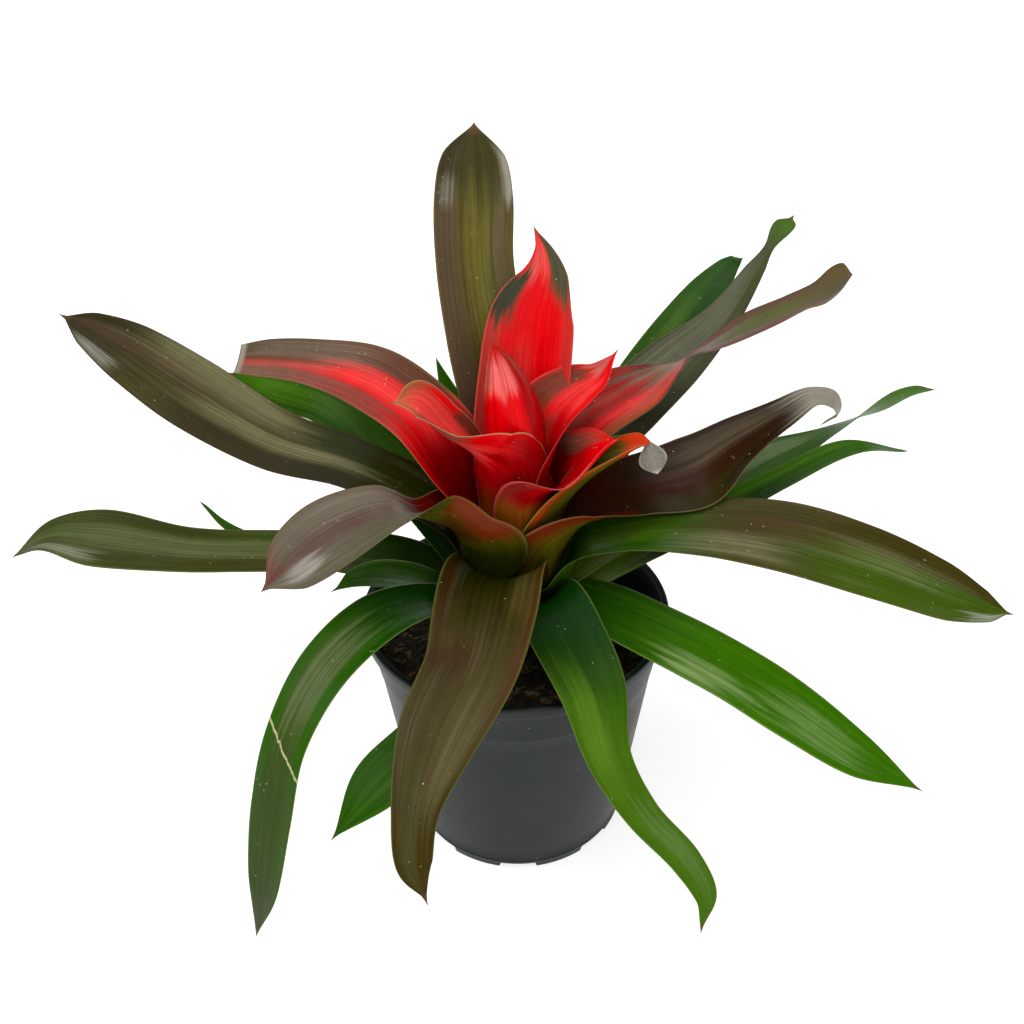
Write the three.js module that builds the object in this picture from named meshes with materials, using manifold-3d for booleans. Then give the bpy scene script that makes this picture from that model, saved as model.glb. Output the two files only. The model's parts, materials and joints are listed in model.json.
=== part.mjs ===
// A potted bromeliad: a rosette of strap leaves with a red heart, in a plastic nursery pot.
//
// Units are millimetres, +Z is up. The origin is the middle of the pot's underside, on the
// surface that the pot stands on. The plant's best side faces -Y.
//
// Every leaf is one closed solid that starts as a gutter round the short stem and opens into a
// blade. The gutters nest: an inner leaf starts higher up the stem, inside the outer ones.

import * as THREE from "three";
import { mergeVertices } from "three/addons/utils/BufferGeometryUtils.js";
import Module from "manifold-3d";

const wasm = await Module();
wasm.setup();

// ---------------------------------------------------------------- driving dimensions

const GAP = 0.3; // clearance between neighbouring pieces

const POT_RIM_RADIUS = 80; // a 16 cm nursery pot
const POT_HEIGHT = 137.2;
const POT_BASE_RADIUS = 59.8;
const POT_WALL = 1.6;
const POT_FLOOR = 2.2;
const POT_SIDES = 44;

const LIP_HEIGHT = 6.6; // the flange that stiffens the rim
const LIP_INSET = 3.6; // how far the wall stands back under the lip
const LIP_TOP_WIDTH = 3.4;
const BEVEL_DEPTH = 5; // slope inside the rim
const SEAM_HEIGHT = 110.4; // ring where the wall gets its upper, steeper band
const SEAM_RADIUS = 73.3;
const SEAM_STEP = 0.5;
const FOOT_RING_HEIGHT = 5.6; // thin ridge above the foot

const NOTCH_COUNT = 8; // raised drainage notches round the foot
const NOTCH_WIDTH = 19;
const NOTCH_HEIGHT = 3;
const NOTCH_REACH = 13; // from the wall inwards
const NOTCH_TURN = -91; // degrees, the notch at the front
const DRAIN_HOLE_RADIUS = 3.4;

const SOIL_LEVEL = 116;
const SOIL_ROUGHNESS = 1.6;
const SOIL_SIDES = 32;

const STEM_RADIUS = 8;
const STEM_FOOT = 98;
const STEM_TOP = 165;
const STEM_TOP_RADIUS = 2.6;
const STEM_SIDES = 20;

const LEAF_THICKNESS = 1.1;
const LEAF_EDGE = 0.45; // share of the thickness left at the margins
const LEAF_TIP_WIDTH = 0.9;
const STEPS_PER_STATION = 2;
const TIGHT_CUP = 185; // degrees; a section that bends further gets more facets
const FACETS_OPEN = 4; // facets across the width of an open leaf
const FACETS_TIGHT = 6;
const TRIM_TOLERANCE = 0.1; // how far a trimmed edge may be straightened

// ---------------------------------------------------------------- materials

const PLASTIC = { color: "#3a4042", roughness: 0.55, metalness: 0 };
const PEAT = { color: "#1d1610", roughness: 1, metalness: 0 };
const STEM = { color: "#6f7440", roughness: 0.8, metalness: 0 };
const GREEN = { color: "#2f6414", roughness: 0.35, metalness: 0 };
const BRONZE = { color: "#4a4028", roughness: 0.3, metalness: 0 };
const RED = { color: "#c8101a", roughness: 0.3, metalness: 0 };

// ---------------------------------------------------------------- leaves

// Each leaf: heading in degrees (0 = +X, 90 = +Y), then its stations from the stem to the tip:
// [out, up, side, width, roll, cup] - distance from the pot's axis along the heading, height,
// sway to the left of the heading, width over the surface, roll about the midrib in degrees
// (positive lifts the left margin), and how many degrees of a circle the section bends.
// The list runs from the innermost leaf outwards, so the youngest leaf comes first.
const LEAVES = [
  ["heart_hood", RED, 270, [
    [4, 168, 0, 13, 0, 180],
    [9, 176, 0, 30, 0, 190],
    [11.5, 192, 0, 41, 0, 205],
    [13, 218, 1, 47, 0, 205],
    [13.5, 243, 1, 49, 0, 205],
    [10, 262, -2, 37, 0, 195],
    [5, 274, -5, 20, 0, 180],
    [2, 282, -8, 2, 0, 120],
  ]],
  ["heart_right", RED, 28, [
    [5, 165, 0, 17, 0, 180],
    [11, 175, 0, 38, 0, 180],
    [14.4, 192, 0, 48, 0, 190],
    [16.5, 222, 0, 48, 5, 160],
    [23, 242, 0, 40, 12, 110],
    [34, 250, 0, 31, 15, 90],
    [47, 255, 0, 18, 15, 90],
    [55, 264, 0, 2, 10, 90],
  ]],
  ["heart_left", RED, 195, [
    [3, 163, 3, 21, 45, 190],
    [9, 174, 9.5, 42, 48, 190],
    [10.5, 194, 12.5, 56, 48, 202],
    [11, 209, 13, 60, 48, 205],
    [13, 224, 12.4, 60, 48, 185],
    [19, 232.5, 9.5, 49, 26, 150],
    [32, 245, 4.5, 38, -6, 95],
    [44, 259, -1, 24, -28, 70],
    [53, 261, 0, 2, -30, 90],
  ]],
  ["heart_back", RED, 83, [
    [7, 160, 0, 24, 0, 180],
    [13.5, 170, 0, 42, 0, 175],
    [18, 190, 0, 50, 0, 160],
    [24, 222, -1, 52, 0, 115],
    [31, 252, -3, 48, 0, 80],
    [39, 280, -6, 42, 0, 60],
    [44, 300, -10, 21, 0, 50],
    [46, 314, -13, 2, 0, 40],
  ]],
  ["leaf_right_red_twisted", RED, 37, [
    [7.5, 158, 0, 26, 0, 190],
    [15, 169, 0, 50, 0, 185],
    [18.6, 190, 0, 58, 0, 175],
    [25, 211, 0, 52, 0, 125],
    [44, 227, 0, 45, 8, 70],
    [78, 235, 0, 38, 8, 45],
    [100, 240, 0, 27, -15, 40],
    [118, 243, 0, 13, -50, 30],
    [150, 247, 0, 20, -75, 20],
    [190, 249, 0, 19, -80, 20],
    [212, 251, 0, 14, -70, 30],
    [230, 253, 0, 20, -60, 40],
    [244, 255, 0, 2, -60, 30],
  ]],
  ["heart_right_low", RED, 345, [
    [8, 155, 0, 28, 0, 200],
    [16.5, 167, 0, 58, 0, 205],
    [20, 186, 0, 70, 0, 205],
    [22.5, 212, 0, 74, 0, 190],
    [31, 222, 0, 46, 20, 115],
    [41, 233, 0, 28, 14, 90],
    [48, 239, 0, 2, 0, 90],
  ]],
  ["heart_right_withered_tip", GREEN, 350, [
    [8, 152, 0, 28, 0, 190],
    [17.5, 164, 0, 56, 0, 180],
    [21.4, 185, 0, 60, 0, 165],
    [28, 206, 0, 50, 0, 125],
    [39, 220, 0, 36, 0, 110],
    [51, 230, 0, 24, 0, 100],
    [59, 236, 0, 15, 0, 80],
    [64, 237, 0, 2, 0, 80],
  ]],
  ["leaf_left_red", RED, 158, [
    [8, 150, 0, 30, 0, 200],
    [19, 166, 0, 70, 0, 220],
    [23, 192, 0, 92, 0, 235],
    [31, 216, 4, 56, -10, 100],
    [46, 238, 2, 39, -28, 65],
    [72, 253, 0, 34, -38, 30],
    [105, 257, 0, 25, -40, 20],
    [132, 255, 0, 21, -40, 20],
    [149, 252, 0, 16, -40, 20],
  ]],
  ["leaf_back_tall", BRONZE, 95, [
    [8, 148, 0, 28, 0, 180],
    [20, 160, 0, 40, 0, 130],
    [25.5, 184, 1, 42, 0, 95],
    [34, 225, 1, 42, 0, 60],
    [45, 265, 8, 40, 0, 45],
    [56, 300, 12, 38, 0, 40],
    [65, 328, 11, 38, 0, 40],
    [71, 347, 10, 30, 0, 60],
    [74, 359, 9, 2, 0, 60],
  ]],
  ["leaf_right_brown_curled", BRONZE, 8, [
    [8, 146, 0, 30, 0, 190],
    [19.5, 158, -7, 66, -20, 180],
    [24, 177, -9, 76, -20, 176],
    [36, 192, -4, 56, 0, 105],
    [62, 199, 0, 42, 15, 50],
    [92, 206, 0, 43, 25, 35],
    [112, 221, 0, 34, 12, 40],
    [132, 234, 0, 22, 10, 40],
    [146, 243, 0, 10, 0, 40],
    [157, 240, 0, 9, 0, 40],
    [160, 233, 0, 8, 0, 40],
    [155, 229, 0, 2, 0, 40],
  ]],
  ["leaf_left_folded", BRONZE, 212, [
    [8, 144, 0, 30, 0, 200],
    [22, 157, -3, 52, -8, 140],
    [28, 172, -4, 59, -8, 130],
    [30.5, 189, 0, 78, 0, 164],
    [36, 198, 0, 52, 6, 150],
    [46, 206, 0, 38, 30, 150],
    [66, 218, 0, 36, -2, 50],
    [95, 216, 0, 38, -18, 20],
    [115, 207, 0, 30, -18, 20],
    [126, 201, 0, 4, -15, 20],
  ]],
  ["leaf_right_back_bronze", BRONZE, 46, [
    [8, 142, 0, 28, 0, 170],
    [24, 160, 0, 42, 0, 110],
    [36, 187, 0, 42, 0, 75],
    [55, 203, 0, 40, 8, 55],
    [90, 217, 0, 38, 18, 35],
    [130, 229, 0, 35, 15, 30],
    [170, 243, -2, 23, 5, 30],
    [205, 262, 0, 13, 0, 30],
    [226, 278, 0, 10, -10, 30],
    [237, 281, 0, 2, -20, 30],
  ]],
  ["leaf_left_upper_bronze", BRONZE, 168, [
    [8, 140, 0, 28, 0, 180],
    [24, 157, 0, 44, 0, 120],
    [34, 184, 0, 42, -5, 90],
    [48, 196, 0, 34, -15, 60],
    [82, 212, 0, 28, -35, 30],
    [121, 222, 0, 33, -38, 20],
    [160, 244, 0, 37, -40, 20],
    [190, 264, 0, 31, -40, 30],
    [209, 275, 0, 18, -40, 40],
    [219, 280, 0, 2, -40, 40],
  ]],
  ["leaf_right_long_bronze", BRONZE, 350, [
    [8, 138, 0, 28, 0, 170],
    [25, 156, 0, 42, 0, 110],
    [35, 175, 0, 40, 0, 75],
    [55, 185, 0, 32, 8, 50],
    [89, 192, 0, 34, 20, 25],
    [130, 191, 0, 38, 30, 15],
    [170, 181, 0, 38, 30, 10],
    [208, 167, 0, 32, 25, 20],
    [228, 160, 0, 18, 20, 30],
    [237, 158, 0, 2, 20, 30],
  ]],
  ["leaf_front_bronze", BRONZE, 260, [
    [8, 136, 0, 30, 0, 180],
    [24, 156, 0, 48, 0, 150],
    [34, 177, -1, 51, 0, 110],
    [46, 184, -2, 50, 0, 80],
    [66, 182, -2, 48, 0, 45],
    [92, 175, -3, 42, 0, 20],
    [122, 162, -12, 34, -10, 10],
    [148, 146, -16, 20, -20, 10],
    [162, 131, -14, 15, -30, 20],
    [168, 121, -9, 2, -40, 20],
  ]],
  ["leaf_back_right_green", GREEN, 52, [
    [8, 134, 0, 26, 0, 150],
    [26, 150, 0, 36, 0, 90],
    [58, 176, 0, 36, 0, 45],
    [105, 211, 0, 34, 0, 30],
    [150, 234, 0, 31, 0, 25],
    [190, 250, 0, 25, 0, 20],
    [214, 258, 0, 14, 0, 20],
    [223, 259, 0, 8, 0, 20],
  ]],
  ["leaf_back_left_green", GREEN, 149, [
    [8, 132, 0, 26, 0, 150],
    [27, 150, 0, 36, 0, 90],
    [60, 192, 0, 36, -15, 50],
    [108, 223, 0, 26, -25, 30],
    [145, 226, 0, 28, -25, 30],
    [178, 227, 0, 2, -20, 30],
  ]],
  ["leaf_left_low_green", GREEN, 184, [
    [8, 130, 0, 26, 0, 150],
    [30, 150, 0, 36, 0, 80],
    [60, 168, 0, 36, 0, 50],
    [110, 176, 0, 32, -5, 30],
    [160, 181, 0, 31, -10, 20],
    [200, 191, 0, 36, -15, 20],
    [223, 194, 0, 20, -15, 30],
    [240, 185, 0, 2, -15, 40],
  ]],
  ["leaf_right_twisted_green", GREEN, 20, [
    [8, 130, 0, 24, 0, 150],
    [30, 148, 0, 34, 0, 80],
    [62, 166, 0, 34, 0, 40],
    [105, 176, 0, 35, 15, 30],
    [145, 191, 0, 29, 10, 20],
    [185, 202, 0, 15, -20, 20],
    [215, 211, 0, 16, -65, 20],
    [232, 215, 0, 10, -70, 20],
    [245, 214, 0, 2, -60, 20],
  ]],
  ["leaf_front_right_green", GREEN, 295, [
    [8, 128, 0, 26, 0, 150],
    [23, 146, 0, 36, 0, 100],
    [37, 162, 0, 36, 12, 60],
    [58, 156, 0, 36, 8, 25],
    [84, 147, -2, 33, 0, 15],
    [106, 126, -5, 22, 0, 10],
    [126, 107, 1, 17, 0, 10],
    [148, 94, 11, 15, 0, 10],
    [161, 85, 13, 11, 0, 10],
    [167, 76, 8, 2, 0, 10],
  ]],
  ["leaf_front_left_green", GREEN, 230, [
    [8, 126, 0, 26, 0, 150],
    [29, 148, 0, 34, 0, 90],
    [54, 170, 0, 32, 0, 60],
    [90, 185, 0, 32, 0, 30],
    [125, 181, 1, 28, 0, 15],
    [152, 162, 4, 24, 0, 10],
    [168, 135, 8, 25, 0, 10],
    [180, 105, 11, 19, 0, 20],
    [187, 79, 9, 2, 0, 20],
  ]],
  ["leaf_back_low_green", GREEN, 86, [
    [8, 125, 0, 26, 0, 150],
    [30, 146, 0, 36, 0, 80],
    [64, 168, 0, 38, 0, 50],
    [105, 182, 0, 38, 0, 30],
    [145, 184, 0, 26, 0, 30],
    [172, 176, 0, 2, 0, 30],
  ]],
  ["leaf_right_front_green", GREEN, 328, [
    [8, 124, 0, 26, 0, 150],
    [25, 144, 0, 36, 0, 90],
    [45, 152, 0, 38, 0, 40],
    [80, 150, 0, 40, 0, 15],
    [115, 144, 0, 40, 0, 10],
    [150, 133, 0, 38, 0, 10],
    [182, 121, 0, 27, 0, 10],
    [206, 116, 0, 2, 0, 20],
  ]],
  ["leaf_left_hidden_green", GREEN, 176, [
    [8, 123, 0, 22, 0, 150],
    [30, 142, 0, 28, 0, 80],
    [60, 154, 0, 26, 0, 50],
    [100, 162, 0, 20, 0, 40],
    [132, 171, 0, 12, 0, 40],
    [147, 182, 0, 6, 0, 40],
    [155, 193, 0, 2, 0, 40],
  ]],
  ["leaf_left_front_green", GREEN, 206, [
    [8, 122, 0, 24, 0, 150],
    [28, 144, 0, 34, 0, 80],
    [50, 166, 0, 32, 0, 50],
    [70, 178, 0, 25, 0, 30],
    [84, 181, 0, 14, 0, 30],
    [92, 179, 0, 2, 0, 30],
  ]],
  ["leaf_back_hidden_tip", GREEN, 120, [
    [8, 121, 0, 24, 0, 150],
    [27, 146, 0, 32, 0, 80],
    [45, 185, 0, 30, 0, 50],
    [60, 222, 0, 16, 0, 40],
    [76, 243, 0, 2, 0, 40],
  ]],
  ["leaf_right_dark_green", GREEN, 12, [
    [8, 120, 0, 24, 0, 150],
    [31, 142, 0, 34, 0, 70],
    [62, 158, 0, 32, 0, 40],
    [98, 172, 0, 29, -5, 25],
    [140, 191, 0, 24, -8, 20],
    [178, 205, 0, 17, -5, 20],
    [209, 199, 0, 2, 0, 20],
  ]],
  ["leaf_front_short_green", GREEN, 258, [
    [8, 119, 0, 22, 0, 150],
    [31, 137, 0, 28, 0, 60],
    [60, 148, 0, 26, 0, 40],
    [85, 149, -6, 24, 0, 20],
    [107, 141, -20, 25, 0, 10],
    [127, 131, -36, 23, 0, 10],
    [143, 117, -49, 2, 0, 10],
  ]],
];

// ---------------------------------------------------------------- helpers

const radians = THREE.MathUtils.degToRad;

// Piece of material from a three.js geometry, as a solid that can be cut.
function solidOf(geometry) {
  const bare = geometry.clone();
  bare.deleteAttribute("normal");
  bare.deleteAttribute("uv");
  const merged = mergeVertices(bare, 1e-4);
  return new wasm.Manifold(new wasm.Mesh({
    numProp: 3,
    vertProperties: Float32Array.from(merged.attributes.position.array),
    triVerts: Uint32Array.from(merged.index.array),
  }));
}

function geometryOf(solid) {
  const mesh = solid.getMesh();
  const geometry = new THREE.BufferGeometry();
  geometry.setAttribute("position", new THREE.BufferAttribute(mesh.vertProperties, 3));
  geometry.setIndex(new THREE.BufferAttribute(mesh.triVerts, 1));
  return geometry;
}

function largestBody(solid) {
  const bodies = solid.decompose();
  return bodies.reduce((best, body) => (body.volume() > best.volume() ? body : best));
}

function nodeOf(name, geometry, finish) {
  geometry.computeVertexNormals();
  const mesh = new THREE.Mesh(geometry, new THREE.MeshStandardMaterial(finish));
  mesh.name = name;
  return mesh;
}

// A lathe turned about Z. The profile is a list of [radius, height].
function turned(profile, sides) {
  const points = profile.map(([radius, height]) => new THREE.Vector2(radius, height));
  return new THREE.LatheGeometry(points, sides).rotateX(Math.PI / 2);
}

// ---------------------------------------------------------------- pot

function wallRadius(height) {
  const lower = (SEAM_RADIUS - POT_BASE_RADIUS) / SEAM_HEIGHT;
  if (height <= SEAM_HEIGHT) return POT_BASE_RADIUS + lower * height;
  const lipFoot = POT_HEIGHT - LIP_HEIGHT;
  const share = (height - SEAM_HEIGHT) / (lipFoot - SEAM_HEIGHT);
  return THREE.MathUtils.lerp(SEAM_RADIUS, POT_RIM_RADIUS - LIP_INSET, share);
}

function potProfile() {
  const lipFoot = POT_HEIGHT - LIP_HEIGHT;
  const bevelFoot = POT_HEIGHT - BEVEL_DEPTH;
  const rimInner = POT_RIM_RADIUS - LIP_TOP_WIDTH;
  return [
    [0, 0],
    [POT_BASE_RADIUS - 1, 0],
    [wallRadius(1), 1],
    [wallRadius(FOOT_RING_HEIGHT - 0.8), FOOT_RING_HEIGHT - 0.8],
    [wallRadius(FOOT_RING_HEIGHT) + 0.6, FOOT_RING_HEIGHT],
    [wallRadius(FOOT_RING_HEIGHT + 1.2), FOOT_RING_HEIGHT + 1.2],
    [wallRadius(SEAM_HEIGHT), SEAM_HEIGHT],
    [wallRadius(SEAM_HEIGHT) + SEAM_STEP, SEAM_HEIGHT + 0.4],
    [wallRadius(lipFoot), lipFoot - 0.8],
    [POT_RIM_RADIUS - 0.8, lipFoot],
    [POT_RIM_RADIUS - 0.5, POT_HEIGHT - 1],
    [POT_RIM_RADIUS - 1.4, POT_HEIGHT],
    [rimInner, POT_HEIGHT],
    [rimInner - 2.2, bevelFoot],
    [wallRadius(SEAM_HEIGHT) - POT_WALL, SEAM_HEIGHT],
    [wallRadius(POT_FLOOR + 2) - POT_WALL, POT_FLOOR + 2],
    [wallRadius(POT_FLOOR) - POT_WALL - 1.6, POT_FLOOR],
    [0, POT_FLOOR],
  ];
}

// A raised pocket in the foot, with a drain hole through its roof.
function pocket(turn) {
  const reach = POT_BASE_RADIUS - NOTCH_REACH;
  const outer = POT_BASE_RADIUS + 6;
  const box = new THREE.BoxGeometry(outer - reach, NOTCH_WIDTH, 2 * NOTCH_HEIGHT);
  box.translate((outer + reach) / 2, 0, 0);
  return solidOf(box.rotateZ(turn));
}

// The shell that roofs a pocket on the inside, so that the floor keeps its thickness.
function pocketRoof(turn) {
  const reach = POT_BASE_RADIUS - NOTCH_REACH - POT_WALL;
  const outer = POT_BASE_RADIUS - POT_WALL;
  const height = NOTCH_HEIGHT + POT_WALL;
  const box = new THREE.BoxGeometry(outer - reach, NOTCH_WIDTH + 2 * POT_WALL, height - 1);
  box.translate((outer + reach) / 2, 0, (height + 1) / 2);
  return solidOf(box.rotateZ(turn));
}

function drainHole(turn) {
  const tall = 4 * NOTCH_HEIGHT;
  const hole = new THREE.CylinderGeometry(DRAIN_HOLE_RADIUS, DRAIN_HOLE_RADIUS, tall, 12);
  hole.rotateX(Math.PI / 2).translate(POT_BASE_RADIUS - NOTCH_REACH / 2 - 1, 0, NOTCH_HEIGHT);
  return solidOf(hole.rotateZ(turn));
}

function buildPot() {
  let pot = solidOf(turned(potProfile(), POT_SIDES));
  for (let i = 0; i < NOTCH_COUNT; i += 1) {
    const turn = radians(NOTCH_TURN + (360 / NOTCH_COUNT) * i);
    pot = pot.add(pocketRoof(turn)).subtract(pocket(turn)).subtract(drainHole(turn));
  }
  return geometryOf(largestBody(pot));
}

// ---------------------------------------------------------------- potting mix and stem

function soilBump(radius, angle) {
  const broad = Math.sin(angle * 3 + radius * 0.11) * Math.cos(radius * 0.09 + angle);
  const fine = Math.sin(angle * 11 + radius * 0.5) * Math.sin(radius * 0.43 - angle * 5);
  return SOIL_ROUGHNESS * (0.6 * broad + 0.4 * fine);
}

function buildSoil() {
  const top = SOIL_LEVEL;
  const foot = NOTCH_HEIGHT + POT_WALL + GAP;
  const fit = POT_WALL + GAP + 0.1;
  const hole = STEM_RADIUS + GAP;
  const profile = [
    [0, foot],
    [wallRadius(foot) - fit - 0.6, foot],
    [wallRadius(SEAM_HEIGHT) - fit, SEAM_HEIGHT],
    [wallRadius(top) - fit - 0.8, top - SOIL_ROUGHNESS - 1],
    [64, top],
    [54, top],
    [43, top],
    [32, top],
    [21, top],
    [13, top + 1],
    [hole, top + 1],
    [hole, STEM_FOOT - GAP],
    [0, STEM_FOOT - GAP],
  ];
  const soil = turned(profile, SOIL_SIDES);
  const position = soil.attributes.position;
  for (let i = 0; i < position.count; i += 1) {
    const x = position.getX(i);
    const y = position.getY(i);
    const radius = Math.hypot(x, y);
    const onTop = position.getZ(i) > top - 0.5 && radius > hole + 1;
    if (onTop) position.setZ(i, position.getZ(i) + soilBump(radius, Math.atan2(y, x)));
  }
  return soil;
}

function buildStem(swell = 0) {
  const profile = [
    [0, STEM_FOOT - swell],
    [STEM_RADIUS - 2 + swell, STEM_FOOT - swell],
    [STEM_RADIUS + swell, STEM_FOOT + 4],
    [STEM_RADIUS + swell, SOIL_LEVEL + 2],
    [STEM_RADIUS - 0.8 + swell, SOIL_LEVEL + 6],
    [STEM_RADIUS - 1.2 + swell, 150],
    [STEM_RADIUS - 3 + swell, 158],
    [STEM_TOP_RADIUS + swell, STEM_TOP],
    [0, STEM_TOP + 1 + swell],
  ];
  return turned(profile, STEM_SIDES);
}

// ---------------------------------------------------------------- leaf

// A leaf's midrib and its form (width, roll, cup) as smooth curves through its stations.
function leafCurves(heading, stations) {
  const turn = radians(heading);
  const ahead = new THREE.Vector3(Math.cos(turn), Math.sin(turn), 0);
  const aside = new THREE.Vector3(-Math.sin(turn), Math.cos(turn), 0);
  const midrib = stations.map(([out, up, side]) => new THREE.Vector3(0, 0, up)
    .addScaledVector(ahead, out)
    .addScaledVector(aside, side));
  const form = stations.map(([, , , width, roll, cup]) => new THREE.Vector3(width, roll, cup));
  return {
    aside,
    midrib: new THREE.CatmullRomCurve3(midrib, false, "centripetal"),
    form: new THREE.CatmullRomCurve3(form, false, "catmullrom", 0.5),
  };
}

// The section of a leaf at t: a row of surface points and their normals. "swell" widens it.
function leafSection(curves, t, across, swell) {
  const along = curves.midrib.getTangent(t);
  const centre = curves.midrib.getPoint(t).addScaledVector(along, (2 * t - 1) * swell);
  const [width, roll, cup] = curves.form.getPoint(t).toArray();
  const span = curves.aside.clone().addScaledVector(along, -curves.aside.dot(along)).normalize();
  const face = along.clone().cross(span);
  const rolled = span.clone().applyAxisAngle(along, radians(roll));
  const facing = face.clone().applyAxisAngle(along, radians(roll));
  const half = Math.max(width, LEAF_TIP_WIDTH) / 2;
  const bend = Math.max(radians(cup) / 2, 0.02);
  const radius = half / bend;
  const reach = bend * (1 + swell / half);
  const section = [];
  for (let j = 0; j <= across; j += 1) {
    const v = (2 * j) / across - 1;
    const angle = v * reach;
    const point = centre.clone()
      .addScaledVector(rolled, radius * Math.sin(angle))
      .addScaledVector(facing, radius * (1 - Math.cos(angle)));
    const normal = facing.clone().multiplyScalar(Math.cos(angle))
      .addScaledVector(rolled, -Math.sin(angle));
    section.push({ point, normal, v });
  }
  return section;
}

// A closed leaf: upper skin, lower skin, and the rim that joins them. "swell" grows it all round.
function leafGeometry(heading, stations, swell = 0) {
  const curves = leafCurves(heading, stations);
  const deepestCup = Math.max(...stations.map(([, , , , , cup]) => cup));
  const across = deepestCup > TIGHT_CUP ? FACETS_TIGHT : FACETS_OPEN;
  const steps = (stations.length - 1) * STEPS_PER_STATION;
  const positions = [];
  for (let i = 0; i <= steps; i += 1) {
    for (const { point, normal, v } of leafSection(curves, i / steps, across, swell)) {
      const share = LEAF_EDGE + (1 - LEAF_EDGE) * (1 - v * v);
      const half = (LEAF_THICKNESS * share) / 2 + swell;
      const upper = point.clone().addScaledVector(normal, half);
      const lower = point.clone().addScaledVector(normal, -half);
      positions.push(...upper.toArray(), ...lower.toArray());
    }
  }
  const at = (i, j, lower) => 2 * (i * (across + 1) + j) + lower;
  const index = [];
  const quad = (a, b, c, d) => index.push(a, b, c, a, c, d);
  for (let i = 0; i < steps; i += 1) {
    for (let j = 0; j < across; j += 1) {
      quad(at(i, j, 0), at(i + 1, j, 0), at(i + 1, j + 1, 0), at(i, j + 1, 0));
      quad(at(i, j, 1), at(i, j + 1, 1), at(i + 1, j + 1, 1), at(i + 1, j, 1));
    }
    quad(at(i, 0, 0), at(i, 0, 1), at(i + 1, 0, 1), at(i + 1, 0, 0));
    quad(at(i, across, 0), at(i + 1, across, 0), at(i + 1, across, 1), at(i, across, 1));
  }
  for (let j = 0; j < across; j += 1) {
    quad(at(0, j, 0), at(0, j + 1, 0), at(0, j + 1, 1), at(0, j, 1));
    quad(at(steps, j, 0), at(steps, j, 1), at(steps, j + 1, 1), at(steps, j + 1, 0));
  }
  const geometry = new THREE.BufferGeometry();
  geometry.setAttribute("position", new THREE.Float32BufferAttribute(positions, 3));
  geometry.setIndex(index);
  return geometry;
}

// Leaves that press on one another give way: each is trimmed back from those inside it.
function buildLeaves() {
  const nodes = [];
  const grown = [solidOf(buildStem(GAP))];
  for (const [name, finish, heading, stations] of LEAVES) {
    let leaf = solidOf(leafGeometry(heading, stations));
    for (const other of grown) leaf = leaf.subtract(other);
    leaf = leaf.simplify(TRIM_TOLERANCE);
    grown.push(solidOf(leafGeometry(heading, stations, GAP)));
    nodes.push(nodeOf(name, geometryOf(largestBody(leaf)), finish));
  }
  return nodes;
}

// ---------------------------------------------------------------- the part

const plant = new THREE.Group();
plant.add(nodeOf("pot", buildPot(), PLASTIC));
plant.add(nodeOf("potting_mix", buildSoil(), PEAT));
plant.add(nodeOf("stem", buildStem(), STEM));
plant.add(...buildLeaves());

export default plant;
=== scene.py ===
"""A potted bromeliad: strap leaves round a red heart, in a dark plastic nursery pot.

Every length in the tables is in millimetres, as a grower would measure it, and is turned into
metres where a mesh is made. The origin is the middle of the pot's underside, +Z is up, and the
plant's best side faces -Y.
"""

import json
import logging
import math
from dataclasses import dataclass, field
from enum import Enum
from typing import Any, Iterable, Sequence

import bmesh
import bpy
from mathutils import Matrix, Vector, noise

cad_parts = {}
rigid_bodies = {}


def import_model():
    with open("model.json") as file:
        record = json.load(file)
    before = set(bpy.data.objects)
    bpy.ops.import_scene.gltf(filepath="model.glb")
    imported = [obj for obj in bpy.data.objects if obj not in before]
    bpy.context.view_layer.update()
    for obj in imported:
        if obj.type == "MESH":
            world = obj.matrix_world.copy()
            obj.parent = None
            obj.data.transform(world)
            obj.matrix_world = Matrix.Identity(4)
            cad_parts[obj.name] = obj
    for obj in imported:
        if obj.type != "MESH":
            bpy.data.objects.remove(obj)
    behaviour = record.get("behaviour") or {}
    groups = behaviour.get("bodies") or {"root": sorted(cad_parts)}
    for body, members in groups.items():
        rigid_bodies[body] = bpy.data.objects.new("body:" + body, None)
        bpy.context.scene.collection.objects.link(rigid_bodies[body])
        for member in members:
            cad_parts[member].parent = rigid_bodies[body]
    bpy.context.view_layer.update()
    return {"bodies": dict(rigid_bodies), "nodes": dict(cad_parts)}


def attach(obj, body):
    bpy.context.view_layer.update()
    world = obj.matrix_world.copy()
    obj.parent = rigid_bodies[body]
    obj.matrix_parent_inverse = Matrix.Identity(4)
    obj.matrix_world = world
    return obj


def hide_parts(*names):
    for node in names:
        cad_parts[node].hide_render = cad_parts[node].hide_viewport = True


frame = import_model()

log = logging.getLogger("bromeliad")

MM = 0.001
REFLECTED = 0.7  # what a surface sends back of the light that its screen colour stands for
BODY = "root"
TOUCHING = 1e-6  # corners closer than this, in metres, are one corner

RGB = tuple[float, float, float]
Point = tuple[float, float, float]


# ------------------------------------------------------------------------------ named options


class Slot(Enum):
    """The record's material slots."""

    POT = "pot_plastic"
    PEAT = "peat"
    STEM = "stem_green"
    RED = "leaf_red"
    BRONZE = "leaf_bronze"
    GREEN = "leaf_green"


class Face(Enum):
    """Which face of a leaf a patch of colour lies on."""

    BOTH = "both"
    UPPER = "upper"
    LOWER = "lower"


# ------------------------------------------------------------------------------ node graphs


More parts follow.
